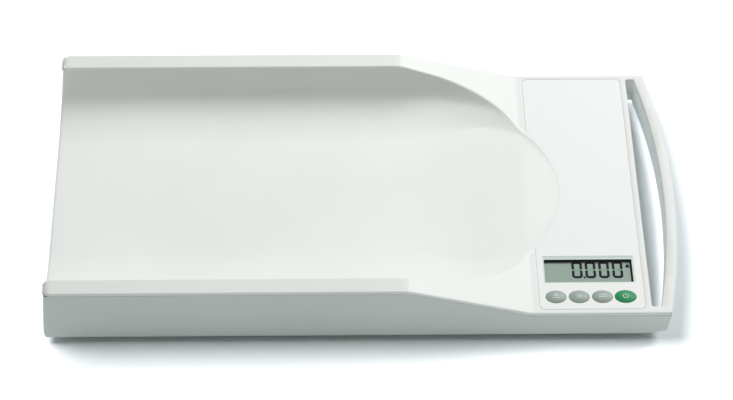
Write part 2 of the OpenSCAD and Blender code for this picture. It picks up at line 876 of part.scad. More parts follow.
// Parts soldered under the board: [distance in x, distance in y, length, width, height]
chips = [
    [34, 36, 12, 12, 1.6], [54, 40, 7, 5, 1.5], [68, 42, 10, 4, 2.5],
    [82, 50, 5, 5, 2.2], [56, 56, 4, 2.5, 1], [64, 56, 4, 2.5, 1]
];
module board_chips() {
    color([0.12, 0.12, 0.13]) for (c = chips)
        translate([board_x0 + c[0], board_y0 + c[1], board_under - c[4]])
            cube([c[2], c[3], c[4]]);
}

module board_sockets() {
    color("ivory") for (i = [0:4])
        translate([socket_x(i) - socket_l / 2, socket_y1 - socket_w, board_under - socket_h])
            cube([socket_l, socket_w, socket_h]);
}

module board_screws() {
    color("silver") for (p = board_holes())
        translate([p[0], p[1], board_under]) screw(board_screw_l);
}

module key(i, tint) {
    a = key_a(i);
    b = key_b(i);
    edge_z = console_h + key_proud;
    crown_r = (pow(a, 2) + pow(key_crown, 2)) / (2 * key_crown);
    color(tint) translate([key_x(i), key_y, 0]) {
        intersection() {
            translate([0, 0, flange_top - slack])
                linear_extrude(edge_z + key_crown - flange_top + slack) oval(a, b);
            translate([0, 0, edge_z + key_crown - crown_r]) sphere(r = crown_r, $fn = 180);
        }
        translate([0, 0, flange_under]) linear_extrude(flange_t)
            oval(a + key_flange, b + key_flange);
        translate([0, 0, plunger_top])
            cylinder(h = flange_under - plunger_top + slack, r = stem_r);
    }
}

module key_memory() { key(0, key_grey); }
module key_hold() { key(1, key_grey); }
module key_units() { key(2, key_grey); }
module key_start() { key(3, start_green); }

module switch_bodies() {
    color([0.15, 0.15, 0.16]) for (i = [0:3]) translate([key_x(i), key_y, 0])
        difference() {
            translate([-switch_l / 2, -switch_l / 2, board_top])
                cube([switch_l, switch_l, switch_h]);
            translate([0, 0, bore_bottom])
                cylinder(h = switch_h, r = plunger_r + plunger_gap);
        }
}

module switch_plunger(i) {
    color([0.8, 0.2, 0.15]) translate([key_x(i), key_y, plunger_bottom])
        cylinder(h = plunger_top - plunger_bottom, r = plunger_r);
}

module switch_plunger_memory() { switch_plunger(0); }
module switch_plunger_hold() { switch_plunger(1); }
module switch_plunger_units() { switch_plunger(2); }
module switch_plunger_start() { switch_plunger(3); }

// ================= batteries =================

module battery_bay() {
    bay_out_x0 = bay_x0 - bay_wall;
    bay_out_l = bay_l + 2 * bay_wall;
    bay_out_half = bay_half + bay_wall;
    stand_z = floor_top;
    color([0.78, 0.80, 0.79]) difference() {
        translate([bay_out_x0, -bay_out_half, stand_z])
            cube([bay_out_l, 2 * bay_out_half, bay_roof_z + bay_wall - stand_z]);
        for (s = [0, 1]) translate([bay_x0, s == 0 ? -bay_half : bay_wall / 2, stand_z - 1])
            cube([bay_l, bay_half - bay_wall / 2, bay_roof_z - stand_z + 1]);
    }
}

module battery_door() {
    tongue_t = 1.4;
    tongue_w = 18;
    tongue_h = 6;
    tongue_in = 2;
    bead_r = 0.6;
    bead_up = 3.5;
    stiffener_l = 3;
    stiffener_t = 1.2;
    stiffener_h = 2;
    ridge_t = 1.2;
    ridge_l = 24;
    ridge_h = 0.5;
    ridge_pitch = 3;
    inner_z = stand_h + door_t - slack;
    color(base_grey) union() {
        translate([door_x, -door_half, stand_h])
            cube([door_end_x - door_x, 2 * door_half, door_t]);
        translate([door_x, -barrel_half, door_axis_z]) rotate([-90, 0, 0])
            cylinder(h = 2 * barrel_half, r = barrel_r);
        for (s = [-1, 1]) translate([door_x, s * (barrel_half - slack), door_axis_z])
            rotate([-90 * s, 0, 0]) cylinder(h = pin_end - barrel_half, r = pin_r);
        // tongue at the free edge, with the bead that snaps behind the edge of the opening
        translate([door_end_x - tongue_in, -tongue_w / 2, inner_z])
            cube([tongue_t, tongue_w, tongue_h]);
        translate([door_end_x - tongue_in + tongue_t, -tongue_w / 2, inner_z + bead_up])
            rotate([-90, 0, 0]) cylinder(h = tongue_w, r = bead_r);
        for (k = [-2:2])
            translate([bay_x1 + bay_wall + door_gap, (4 * k - 0.5) * stiffener_t, inner_z])
                cube([stiffener_l, stiffener_t, stiffener_h]);
        // ridges for the thumb outside
        for (k = [1:3])
            translate([door_end_x - k * ridge_pitch, -ridge_l / 2, stand_h - ridge_h])
                cube([ridge_t, ridge_l, ridge_h + slack]);
    }
}

// Cells lie along Y in two rows of three
function battery_spot(k) = [
    bay_x0 + row_play / 2 + cell_pitch * (k % columns + 0.5),
    (k < columns ? -1 : 1) * (bay_wall / 2 + row_l / 2), cell_z
];
function turned(k) = (k % 2 == 0) ? 1 : -1;
nub_d = 5.4;
nub_h = 1;
plate_t = 0.4;
spring_h = contact_room - nub_h - 2 * plate_t;

module battery(k) {
    p = battery_spot(k);
    t = turned(k);
    shift = t * (spring_h - nub_h) / 2;
    color(k % 2 == 0 ? "darkorange" : "dimgray")
        translate([p[0], p[1] + shift, p[2]]) rotate([-90 * t, 0, 0]) {
            translate([0, 0, -cell_l / 2]) cylinder(h = cell_l, d = cell_d);
            translate([0, 0, cell_l / 2 - slack]) cylinder(h = nub_h + slack, d = nub_d);
        }
}

module battery_1() { battery(0); }
module battery_2() { battery(1); }
module battery_3() { battery(2); }
module battery_4() { battery(3); }
module battery_5() { battery(4); }
module battery_6() { battery(5); }

module battery_contacts() {
    plate_w = cell_pitch - 2;
    plate_h = 11;
    color("silver") for (k = [0:5], e = [-1, 1]) {
        p = battery_spot(k);
        translate([p[0] - plate_w / 2, p[1] + e * (row_l - plate_t) / 2 - plate_t / 2,
                   cell_z - plate_h / 2])
            cube([plate_w, plate_t, plate_h]);
    }
}

// A conical spring, wound in one piece from its wide foot to its tip
wire_d = 0.6;
spring_turns = 3;
turn_rings = 8;
spring_foot_r = 4.4;
spring_tip_r = 2.3;
spring_path = let (n = spring_turns * turn_rings, rise = spring_h - wire_d) [
    for (i = [0:n]) let (r = spring_foot_r + (spring_tip_r - spring_foot_r) * i / n,
                         a = 360 * i / turn_rings)
        [r * cos(a), r * sin(a), wire_d / 2 + rise * i / n]
];
spring_gap = min([
    for (i = [0:len(spring_path) - 1], j = [i + turn_rings - 2:1:len(spring_path) - 1])
        norm(spring_path[i] - spring_path[j])
]) - wire_d;
echo(spring_gap = spring_gap);

module battery_springs() {
    color("silver") for (k = [0:5]) {
        p = battery_spot(k);
        t = turned(k);
        translate([p[0], p[1] - t * (row_l / 2 - plate_t), p[2]]) rotate([-90 * t, 0, 0])
            tube(spring_path, wire_d / 2, 6);
    }
}

// ================= feet and load cells =================

module at_foot(k) {
    translate([foot_spots[k][0], foot_spots[k][1], 0]) children();
}

module foot_pad() {
    color([0.30, 0.31, 0.32]) cylinder(h = pad_t, d = pad_d);
}

module foot_cup() {
    bevel_t = cup_t / 2;
    color([0.86, 0.87, 0.86]) {
        translate([0, 0, pad_t]) cylinder(h = bevel_t, d1 = pad_d, d2 = cup_d);
        translate([0, 0, pad_t + bevel_t - slack])
            cylinder(h = cup_t - bevel_t + slack, d = cup_d);
        translate([0, 0, pad_t + cup_t - slack])
            cylinder(h = seat_z - pad_t - cup_t + slack, d = post_d);
    }
}

// Square spring plate: an outer frame and a tongue that the foot's post lifts
module load_cell() {
    slit = 2;
    tongue_w = 13;
    slit_l = gauge_l - 9;
    patch = [7, 7, 1.2];
    patch_in = 6;
    color("lightsteelblue") difference() {
        translate([-gauge_l / 2, -gauge_l / 2, seat_z]) cube([gauge_l, gauge_l, gauge_t]);
        for (s = [-1, 1])
            translate([-slit_l / 2, s * (tongue_w / 2 + slit / 2) - slit / 2, seat_z - 1])
                cube([slit_l, slit, gauge_t + 2]);
        translate([slit_l / 2 - slit, -tongue_w / 2 - slit, seat_z - 1])
            cube([slit, tongue_w + 2 * slit, gauge_t + 2]);
    }
    color("white") translate([-gauge_l / 2 + patch_in, -patch[1] / 2, gauge_top - slack])
        cube(patch);
}

module cell_clamp() {
    clamp_hole = gauge_l - 10;
    clamp_w = gauge_l - 2 * clamp_in;
    ear_d = 9;
    color([0.86, 0.87, 0.86]) difference() {
        union() {
            translate([-clamp_w / 2, -clamp_w / 2, gauge_top]) cube([clamp_w, clamp_w, clamp_t]);
            for (s = [-1, 1]) translate([s * clamp_screw_x, 0, gauge_top])
                cylinder(h = clamp_t, d = ear_d);
            translate([-clamp_screw_x, -ear_d / 2, gauge_top])
                cube([2 * clamp_screw_x, ear_d, clamp_t]);
        }
        translate([-clamp_hole / 2, -clamp_hole / 2, gauge_top - 1])
            cube([clamp_hole, clamp_hole, clamp_t + 2]);
        for (s = [-1, 1]) translate([s * clamp_screw_x, 0, gauge_top - 1])
            cylinder(h = clamp_t + 2, d = screw_hole_d);
    }
}

module foot_pad_front_open() { at_foot(0) foot_pad(); }
module foot_pad_back_open() { at_foot(1) foot_pad(); }
module foot_pad_front_head() { at_foot(2) foot_pad(); }
module foot_pad_back_head() { at_foot(3) foot_pad(); }
module foot_cup_front_open() { at_foot(0) foot_cup(); }
module foot_cup_back_open() { at_foot(1) foot_cup(); }
module foot_cup_front_head() { at_foot(2) foot_cup(); }
module foot_cup_back_head() { at_foot(3) foot_cup(); }
module load_cell_front_open() { at_foot(0) load_cell(); }
module load_cell_back_open() { at_foot(1) load_cell(); }
module load_cell_front_head() { at_foot(2) load_cell(); }
module load_cell_back_head() { at_foot(3) load_cell(); }
module cell_clamp_front_open() { at_foot(0) cell_clamp(); }
module cell_clamp_back_open() { at_foot(1) cell_clamp(); }
module cell_clamp_front_head() { at_foot(2) cell_clamp(); }
module cell_clamp_back_head() { at_foot(3) cell_clamp(); }

module clamp_screws() {
    color("silver") for (f = foot_spots, s = [-1, 1])
        translate([f[0] + s * clamp_screw_x, f[1], clamp_top]) mirror([0, 0, 1])
            screw(clamp_screw_l);
}

module housing_screws() {
    color("silver") for (p = concat(tower_spots(), end_tower_spots()))
        translate([p[0], p[1], web_z]) screw(screw_l);
}

// ================= leads =================

lead_lift = 2.5;
lead_in = 5;
turn_room = 1.6;
lead_z = floor_top + rib_h + lead_d / 2 + lead_lift;
lead_y = half_w - foot_side - gauge_l / 2 - lead_in;
bay_front_y = -bay_half - bay_wall;
socket_gap = bay_front_y - socket_y1;   // free room between the sockets and the bay
loop_share = 0.5;
loop_y = socket_y1 + loop_share * socket_gap;
turn_y = bay_front_y - turn_room;
aisle_far = 9;
aisle_near = 4;
aisle_x = [bay_x0 - bay_wall - aisle_far, bay_x0 - bay_wall - aisle_near];

// Where a lead leaves the load cell, over the rim that its clamp leaves free
function leave(k) =
    let (f = foot_spots[k], s = sign(f[1]), z = gauge_top + lead_d / 2 + 0.05)
    [[f[0], f[1] - s * (gauge_l / 2 - 0.6 * clamp_in), z],
     [f[0], s * (lead_y + 2), z]];
// The plugged end, coming down the board into a socket
function plug_in(i) = [[socket_x(i), loop_y, socket_mid_z], [socket_x(i), socket_y1, socket_mid_z]];

module cell_lead_front_open() {
    lead(concat(leave(0), [
        [foot_x_open + 12, -lead_y, lead_z], [crease_x - 6, -lead_y, lead_z],
        [socket_x(0) - 10, socket_y1 - 6, lead_z], [socket_x(0) - 7, loop_y - 4, lead_z + 1]
    ], plug_in(0)));
}

module cell_lead_back_open() {
    lead(concat(leave(1), [
        [foot_x_open + 12, lead_y, lead_z], [crease_x - 14, lead_y, lead_z],
        [aisle_x[0], bay_half / 2, lead_z], [aisle_x[0], turn_y, lead_z]
    ], plug_in(1)));
}

module cell_lead_front_head() {
    lead(concat(leave(2), [
        [foot_x_head - 4, -lead_y + 2, lead_z], [socket_x(4) + 8, loop_y - 5, lead_z]
    ], plug_in(4)));
}

module cell_lead_back_head() {
    lead(concat(leave(3), [
        [foot_x_head - 4, lead_y - 4, lead_z], [aisle_x[1] + 8, bay_half + bay_wall + 8, lead_z],
        [aisle_x[1], bay_half, lead_z], [aisle_x[1], turn_y, lead_z]
    ], plug_in(2)));
}

module battery_lead() {
    lead([
        [socket_x(3), bay_front_y - slack, cell_z + 3],
        [socket_x(3), bay_front_y - 0.22 * socket_gap, cell_z + 3],
        [socket_x(3), bay_front_y - loop_share * socket_gap, socket_mid_z],
        [socket_x(3), socket_y1, socket_mid_z]
    ]);
}

top_cover();
base_shell();
console_overlay();
display_lens();
display_mask();
display_holder();
display_glass();
contact_strips();
main_board();
board_chips();
board_sockets();
board_screws();
key_memory();
key_hold();
key_units();
key_start();
switch_bodies();
switch_plunger_memory();
switch_plunger_hold();
switch_plunger_units();
switch_plunger_start();
battery_bay();
battery_door();
battery_contacts();
battery_springs();
battery_1();
battery_2();
battery_3();
battery_4();
battery_5();
battery_6();
foot_pad_front_open();
foot_pad_back_open();
foot_pad_front_head();
foot_pad_back_head();
foot_cup_front_open();
foot_cup_back_open();
foot_cup_front_head();
foot_cup_back_head();
load_cell_front_open();
load_cell_back_open();
load_cell_front_head();
load_cell_back_head();
cell_clamp_front_open();
cell_clamp_back_open();
cell_clamp_front_head();
cell_clamp_back_head();
clamp_screws();
housing_screws();
cell_lead_front_open();
cell_lead_back_open();
cell_lead_front_head();
cell_lead_back_head();
battery_lead();
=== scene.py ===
# %% [markdown]
# # A digital baby weighing scale, dressed in Blender
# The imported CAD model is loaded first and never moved. It gives the sizes, the
# bodies that move, and every inner piece. What shows gets its own mesh here,
# with the softened edges and the fine texture of moulded plastic.

# %% Load the frame
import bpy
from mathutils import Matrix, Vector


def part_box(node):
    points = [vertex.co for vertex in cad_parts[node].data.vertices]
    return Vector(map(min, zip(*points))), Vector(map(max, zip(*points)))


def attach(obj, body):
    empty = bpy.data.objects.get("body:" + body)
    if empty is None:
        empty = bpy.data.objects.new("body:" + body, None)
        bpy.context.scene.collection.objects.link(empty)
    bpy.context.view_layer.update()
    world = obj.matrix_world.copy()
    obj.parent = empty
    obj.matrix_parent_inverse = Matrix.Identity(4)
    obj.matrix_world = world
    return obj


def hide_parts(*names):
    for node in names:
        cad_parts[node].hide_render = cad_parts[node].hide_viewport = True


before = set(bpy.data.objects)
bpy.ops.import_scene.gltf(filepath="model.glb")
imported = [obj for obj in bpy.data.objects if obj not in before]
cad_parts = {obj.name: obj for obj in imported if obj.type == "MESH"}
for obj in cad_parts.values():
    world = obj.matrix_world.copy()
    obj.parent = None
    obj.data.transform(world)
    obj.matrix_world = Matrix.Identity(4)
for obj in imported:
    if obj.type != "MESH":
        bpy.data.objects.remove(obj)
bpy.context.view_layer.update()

import math
import bmesh
import bpy
import numpy as np
from mathutils import Matrix, Vector, geometry, kdtree

mm = 0.001                       # shapes are drawn in millimetres, the scene is in metres
deg = math.pi / 180


def placed(name, data):
    """A new object in the scene."""
    thing = bpy.data.objects.new(name, data)
    bpy.context.scene.collection.objects.link(thing)
    return thing


# %% [markdown]
# ## Camera
# The photograph looks at the scale from the front, 45 degrees down, through a
# long lens. The values were found by matching the corners of the body to their
# places in the photograph, which left an error of about one pixel. The camera
# comes first, because every later choice is judged through it.

# %% Camera
focal_length, photo_width = 2821.67, 733         # pixels
sensor_width = 36.0                              # mm
camera_place = (-0.04286, -1.89403, 1.92877)     # m
pitch, yaw, roll = 0.7885, 0.0241, 0.0109        # radians
camera_data = bpy.data.cameras.new("photo_camera")
camera_data.sensor_width = sensor_width
camera_data.lens = focal_length / photo_width * sensor_width
camera_data.clip_end = 20
camera = placed("photo_camera", camera_data)
forward = Vector((math.sin(yaw) * math.cos(pitch), math.cos(yaw) * math.cos(pitch),
                  -math.sin(pitch)))
level = Vector((math.cos(yaw), -math.sin(yaw), 0))
upward = level.cross(forward)
right = math.cos(roll) * level + math.sin(roll) * upward
above = -math.sin(roll) * level + math.cos(roll) * upward
camera.matrix_world = Matrix([(right[i], above[i], -forward[i], camera_place[i])
                              for i in range(3)] + [(0, 0, 0, 1)])
bpy.context.scene.camera = camera
print("lens", round(camera_data.lens, 2), "mm")

# %% [markdown]
# ## Floor and light
# The photograph was taken on a white sweep that is almost burnt out, with a soft
# shadow towards us and a faint one beside the handle. One set of lamps gave
# either that floor or the scale's own shading, so light linking splits the work.
# A large lamp behind and to the right lights the scale, and a broad one above
# fills its tops. The floor has an even lamp of its own, and a small one on the
# right that thins the shadow there. A pale surrounding lights all of it a little.

# %% Floor and light
def set_inputs(node, **values):
    """Sets a node's own inputs. A space in a name is written as an underscore."""
    for name, value in values.items():
        node.inputs[name.replace("_", " ")].default_value = value


def shader_tree(name):
    finish = bpy.data.materials.new(name)
    finish.use_nodes = True
    tree = finish.node_tree
    tree.nodes.clear()
    shader = tree.nodes.new("ShaderNodeBsdfPrincipled")
    out = tree.nodes.new("ShaderNodeOutputMaterial")
    tree.links.new(shader.outputs[0], out.inputs[0])
    return finish, tree, shader


floor_half = 8.0                                 # m
floor_finish, _, floor_shader = shader_tree("floor_white")
set_inputs(floor_shader, Base_Color=(0.90, 0.93, 0.96, 1), Roughness=0.9)
floor_mesh = bpy.data.meshes.new("floor")
floor_mesh.from_pydata([(x * floor_half, y * floor_half, 0)
                        for x, y in ((-1, -1), (1, -1), (1, 1), (-1, 1))], [], [(0, 1, 2, 3)])
floor_mesh.materials.append(floor_finish)
floor = placed("floor", floor_mesh)

bpy.context.scene.view_settings.view_transform = "Standard"
sweep, not_sweep, tops = (bpy.data.collections.new(n) for n in ("sweep", "not_sweep", "tops"))
sweep.objects.link(floor)
not_sweep.objects.link(floor)
not_sweep.collection_objects[0].light_linking.link_state = "EXCLUDE"


def soft_light(name, place, aim, size, power, receivers):
    """A rectangular lamp, turned to aim, that lights only its receivers."""
    data = bpy.data.lights.new(name, "AREA")
    data.shape = "RECTANGLE"
    data.size, data.size_y = size
    data.energy = power
    lamp = placed(name, data)
    lamp.location = place
    lamp.rotation_euler = (Vector(aim) - Vector(place)).to_track_quat("-Z", "Y").to_euler()
    lamp.light_linking.receiver_collection = receivers


soft_light("key_light", (1.2, 2.15, 2.4), (0, 0, 0), (1.5, 1.1), 101, not_sweep)
soft_light("fill_light", (-1.0, -0.7, 2.7), (0, 0, 0), (3.0, 3.0), 30, tops)
even_light = bpy.data.lights.new("floor_light", "SUN")
even_light.energy, even_light.angle = 3.37, 36 * deg
floor_light = placed("floor_light", even_light)
floor_light.rotation_euler = Vector((0.57, -0.265, -1)).to_track_quat("-Z", "Y").to_euler()
floor_light.light_linking.receiver_collection = sweep
soft_light("side_light", (0.8, 0.12, 0.55), (0.31, -0.1, 0), (0.25, 0.25), 3.3, sweep)
world = bpy.data.worlds.new("surrounding")
world.use_nodes = True
set_inputs(world.node_tree.nodes["Background"], Color=(0.92, 1.0, 0.945, 1), Strength=0.25)
bpy.context.scene.world = world
print("lamps:", len(bpy.data.lights))

# %% [markdown]
# ## Moulded plastic
# The shell is a satin plastic with a very fine spark texture. Two noises of
# different grain give the gloss and the bump, and a third, broad one shifts the
# colour a little, as on any large moulding. One maker of such finishes serves
# all the plastics, each with its own colour, gloss and grain.

# %% Finishes
def noise(tree, where, scale, detail):
    node = tree.nodes.new("ShaderNodeTexNoise")
    set_inputs(node, Scale=scale, Detail=detail)
    tree.links.new(where, node.inputs["Vector"])
    return node.outputs["Fac"]


def textured(tree, shader, spots, low, high, grain, depth):
    """Roughness from low to high after one noise, and bumps of depth after another."""
    gloss = tree.nodes.new("ShaderNodeMapRange")
    set_inputs(gloss, To_Min=low, To_Max=high)
    bump = tree.nodes.new("ShaderNodeBump")
    set_inputs(bump, Strength=1.0, Distance=depth)
    for start, end in ((spots, gloss.inputs["Value"]),
                       (gloss.outputs[0], shader.inputs["Roughness"]),
                       (grain, bump.inputs["Height"]), (bump.outputs[0], shader.inputs["Normal"])):
        tree.links.new(start, end)


def moulded(name, colour, rough=0.45, grain=2600, depth=0.00003, spread=0.02, coat=0.0,
            specular=0.5):
    finish, tree, shader = shader_tree(name)
    where = tree.nodes.new("ShaderNodeTexCoord").outputs["Object"]
    broad = tree.nodes.new("ShaderNodeMapRange")
    set_inputs(broad, From_Min=0.3, From_Max=0.7)
    tree.links.new(noise(tree, where, 9, 3), broad.inputs["Value"])
    mix = tree.nodes.new("ShaderNodeMix")
    mix.data_type = "RGBA"
    set_inputs(mix, A=tuple(c * (1 - spread) for c in colour) + (1,),
               B=tuple(min(1, c * (1 + spread)) for c in colour) + (1,))
    tree.links.new(broad.outputs[0], mix.inputs["Factor"])
    tree.links.new(mix.outputs["Result"], shader.inputs["Base Color"])
    textured(tree, shader, noise(tree, where, grain * 0.35, 2), rough - 0.05, rough + 0.05,
             noise(tree, where, grain, 4), depth)
    set_inputs(shader, Coat_Weight=coat, Specular_IOR_Level=specular)
    return finish


# one plastic: the tray keeps its own tone, the other zones carry painted shade or painted light
# rims, console and handle: darker than the tray, as painted shade
cover_plastic = moulded("cover_plastic", (0.69, 0.70, 0.68), 0.5, specular=0.3)
tray_plastic = moulded("tray_plastic", (0.74, 0.75, 0.732), 0.5, specular=0.3)
# walls, skirt, seam lip and battery door: darker still, as painted shade
base_plastic = moulded("base_plastic", (0.555, 0.585, 0.56), 0.5, specular=0.3)
# collar of the grip slot: lighter, as painted light
collar_plastic = moulded("collar_plastic", (0.86, 0.89, 0.89), 0.5, specular=0.3)
print("finishes:", cover_plastic.name, tray_plastic.name, base_plastic.name)

# %% [markdown]
# ## Shape of the top
# All the top surfaces follow from a few curves: the height of rims, shoulders
# and console along the scale, the curved cross section of the tray, and the
# ramp under the head. Written as functions of x and y, they can be blended with
# a soft minimum, which rounds the edges between them as a mould does. The
# values are the CAD model's, in millimetres.

# %% Heights of the top surface
half_width, rim_height, console_height = 160.0, 65.0, 34.7
shoulder_x, crease_x, head_x = 38.3, 152.0, 71.3
open_x, tip_x = -291.5, 295.0
shoulder_fall = (rim_height - console_height) / (crease_x - shoulder_x)
tray_z, bow_start, bow_r, bow_reach = 27, 69.4, 136, 78
turn_r, bow_angle, wall_angle = 10, 25 * deg, 64.4 * deg
ramp_x, ramp_r, ramp_reach, ramp_end_x = 43.3, 711.4, 62, 105.3
ramp_end_z, ramp_rise = 29.707, 0.08765          # height there, and rise per mm beyond it
dish_z, dish_rise = 33.8, 0.0208                 # the last stretch, at the crease
even_blend = 3.8                                 # between bow and side, away from the ends


def soft_min(a, b, k):
    h = np.clip(0.5 + 0.5 * (b - a) / k, 0, 1)
    return b * (1 - h) + a * h - k * h * (1 - h)


def soft_max(a, b, k):
    return -soft_min(-a, -b, k)


def rim_top(x):
    slope = rim_height - shoulder_fall * (x - shoulder_x)
    return soft_max(soft_min(np.full_like(x, rim_height), slope, 1.6), console_height, 1.3)


bow_x = bow_start + bow_r * math.sin(bow_angle)
bow_z = tray_z + bow_r * (1 - math.cos(bow_angle))
turn_x = bow_x + turn_r * (math.sin(wall_angle) - math.sin(bow_angle))
turn_z = bow_z + turn_r * (math.cos(bow_angle) - math.cos(wall_angle))


def fillet(x):
    """How broadly bow and steep side blend: more at the open end and round the head."""
    return np.interp(x, [-290, -240, -170, -130, 10, 50, 95],
                     [17, 12, 6, even_blend, even_blend, 8, 17])


def tray_side(r, blend):
    out = np.clip(r - bow_start, 0, bow_reach)
    bow = tray_z + bow_r - np.sqrt(np.maximum(bow_r ** 2 - out ** 2, 0))
    return soft_max(bow, turn_z + math.tan(wall_angle) * (r - turn_x), blend)


def ramp(x):
    rise = ramp_r - np.sqrt(ramp_r ** 2 - np.clip(x - ramp_x, 0, ramp_reach) ** 2)
    slope = ramp_end_z + ramp_rise * (x - ramp_end_x)
    dish = dish_z + dish_rise * (x - crease_x)
    return np.where(x < ramp_end_x, tray_z + rise, soft_min(slope, dish, 0.16))


def from_middle(x, y):
    return np.where(x < head_x, np.abs(y), np.hypot(x - head_x, y))


def edge_softness(x):
    return np.interp(x, [30, 110, 140, 152], [2.9, 2.4, 0.7, 0.32])


def top_height(x, y, blend=None):
    side = tray_side(from_middle(x, y), fillet(x) if blend is None else blend)
    return soft_min(rim_top(x), soft_max(side, ramp(x), 0.22), edge_softness(x))


probe = np.array([-200.0, -200.0, 100.0, 170.0, 200.0])
print("heights:", top_height(probe, np.array([0.0, 150.0, 0.0, 0.0, 0.0])).round(2))

# %% [markdown]
# ## Outline of the body
# Seen from above, the body is a long rectangle whose handle end is a shallow
# arc. The corners are rounded. The same outline serves the cover's rolled edge
# and its skirt, so it is made once as a list of points with the direction that
# points inwards at each.

# %% Outlines in plan
handle_bulge, slot_bulge = 16, 15.5
handle_r = (half_width ** 2 + handle_bulge ** 2) / (2 * handle_bulge)
handle_cx = tip_x - handle_r
slot_half, slot_x, slot_tip_x = 153.5, 261.0, 284.7
slot_r = (slot_half ** 2 + slot_bulge ** 2) / (2 * slot_bulge)
slot_cx = slot_tip_x - slot_r
meet_r = 117.08                                  # round the head, where tray meets overlay
overlay_x, overlay_far_x, overlay_half = 158.8, 255.1, 154.0


def arc(cx, cy, r, a0, a1, n):
    return [(cx + r * math.cos(t), cy + r * math.sin(t)) for t in np.linspace(a0, a1, n)]


def run(a, b, step):
    n = max(1, round(math.dist(a, b) / step))
    return [(a[0] + (b[0] - a[0]) * k / n, a[1] + (b[1] - a[1]) * k / n) for k in range(n + 1)]


def closed(parts):
    """One closed loop from several lines, without double points."""
    points = []
    for p in (p for part in parts for p in part):
        if not points or math.dist(points[-1], p) > 0.05:
            points.append(p)
    if math.dist(points[0], points[-1]) < 0.05:
        points.pop()
    return np.array(points)


def inward(loop):
    ahead, behind = np.roll(loop, -1, 0) - loop, loop - np.roll(loop, 1, 0)
    ahead /= np.linalg.norm(ahead, axis=1)[:, None]
    behind /= np.linalg.norm(behind, axis=1)[:, None]
    way = ahead + behind
    way /= np.linalg.norm(way, axis=1)[:, None]
    turn = np.stack([-way[:, 1], way[:, 0]], 1)
    width = (turn * np.stack([-ahead[:, 1], ahead[:, 0]], 1)).sum(1)
    return turn / np.maximum(width, 0.5)[:, None]


def body_outline(step):
    soft, corner = 2.6, 5.8
    y, end_x = half_width, open_x + corner
    fx = handle_cx + math.sqrt((handle_r - soft) ** 2 - (y - soft) ** 2)
    lean = math.atan2(y - soft, fx - handle_cx)
    return closed([
        run((end_x, -y), (fx, -y), step), arc(fx, -y + soft, soft, -90 * deg, -lean, 7),
        arc(handle_cx, 0, handle_r, -lean, lean, round(2 * lean * handle_r / step)),
        arc(fx, y - soft, soft, lean, 90 * deg, 7), run((fx, y), (end_x, y), step),
        arc(end_x, y - corner, corner, 90 * deg, 180 * deg, 9),
        run((open_x, y - corner), (open_x, -y + corner), step),
        arc(end_x, -y + corner, corner, 180 * deg, 270 * deg, 9)])


def slot_outline(out, step):
    r, x0, y0 = slot_r + out, slot_x - out, slot_half + out
    y1 = slot_half - 2.2 + out                   # the front end is a little shorter
    tip, front_tip = slot_cx + math.sqrt(r ** 2 - y0 ** 2), slot_cx + math.sqrt(r ** 2 - y1 ** 2)
    lean, front_lean = math.atan2(y0, tip - slot_cx), math.atan2(y1, front_tip - slot_cx)
    c = 2.4 + out
    return closed([
        arc(x0 + c, -y1 + c, c, 180 * deg, 270 * deg, 6), run((x0 + c, -y1), (front_tip, -y1), 2),
        arc(slot_cx, 0, r, -front_lean, lean, round(2 * lean * r / step)),
        run((tip, y0), (x0 + c, y0), 2), arc(x0 + c, y0 - c, c, 90 * deg, 180 * deg, 6),
        run((x0, y0 - c), (x0, -y1 + c), step)])


def overlay_outline(out, step):
    r = 5 + out
    x0, x1, y0 = overlay_x - out, overlay_far_x + out, overlay_half + out
    bite = meet_r + 0.30 - 0.05 * out
    y_bite = math.sqrt(bite ** 2 - (x0 - head_x) ** 2)
    lean = math.atan2(y_bite, x0 - head_x)
    return closed([
        run((x0 + r, -y0), (x1 - r, -y0), step), arc(x1 - r, -y0 + r, r, -90 * deg, 0, 7),
        run((x1, -y0 + r), (x1, y0 - r), step), arc(x1 - r, y0 - r, r, 0, 90 * deg, 7),
        run((x1 - r, y0), (x0 + r, y0), step), arc(x0 + r, y0 - r, r, 90 * deg, 180 * deg, 7),
        run((x0, y0 - r), (x0, y_bite), step),
        arc(head_x, 0, bite, lean, -lean, round(2 * lean * bite / step)),
        run((x0, -y_bite), (x0, -y0 + r), step),
        arc(x0 + r, -y0 + r, r, 180 * deg, 270 * deg, 7)])


def oval(cx, cy, a, b, n=56):
    t = np.linspace(0, 2 * math.pi, n, endpoint=False)
    return np.stack([cx + a * np.cos(t), cy + b * np.sin(t)], 1)


def box_loop(x0, x1, y0, y1, step=6):
    corner = [(x0, y0), (x1, y0), (x1, y1), (x0, y1)]
    return closed([run(a, b, step) for a, b in zip(corner, corner[1:] + corner[:1])])


key_names = ["memory", "hold", "units", "start"]
key_y = -138.9
key_spots = [(174.0, 9.2, 7.5), (195.3, 9.2, 7.5), (216.6, 9.2, 7.5), (237.9, 9.7, 7.65)]
window = (164.8, 248.5, -121.0, -87.3)


def console_holes(lens_gap, key_gap):
    """Window and key holes, with a gap round the lens and round each key."""
    x0, x1, y0, y1 = window
    return [box_loop(x0 - lens_gap, x1 + lens_gap, y0 - lens_gap, y1 + lens_gap)] + [
        oval(x, key_y, a + key_gap, b + key_gap) for x, a, b in key_spots]


outline = body_outline(3.0)
print("outline points:", len(outline))

# %% [markdown]
# ## From scattered points to a mesh
# The top is one sheet with creases, a recess and several holes. A grid would
# fit none of them, so points are laid in rows along every edge and more thinly
# between, and a Delaunay triangulation joins them in plan. Each point is then
# lifted to its height. Rows that run along an edge keep its highlight even.

# %% Triangulated sheets
def inside(points, loop):
    x, y = points[:, 0][:, None], points[:, 1][:, None]
    x0, y0 = loop[:, 0][None], loop[:, 1][None]
    x1, y1 = np.roll(loop[:, 0], -1)[None], np.roll(loop[:, 1], -1)[None]
    hit = ((y0 > y) != (y1 > y)) & (x < (x1 - x0) * (y - y0) / (y1 - y0 + 1e-12) + x0)
    return hit.sum(1) % 2 == 1


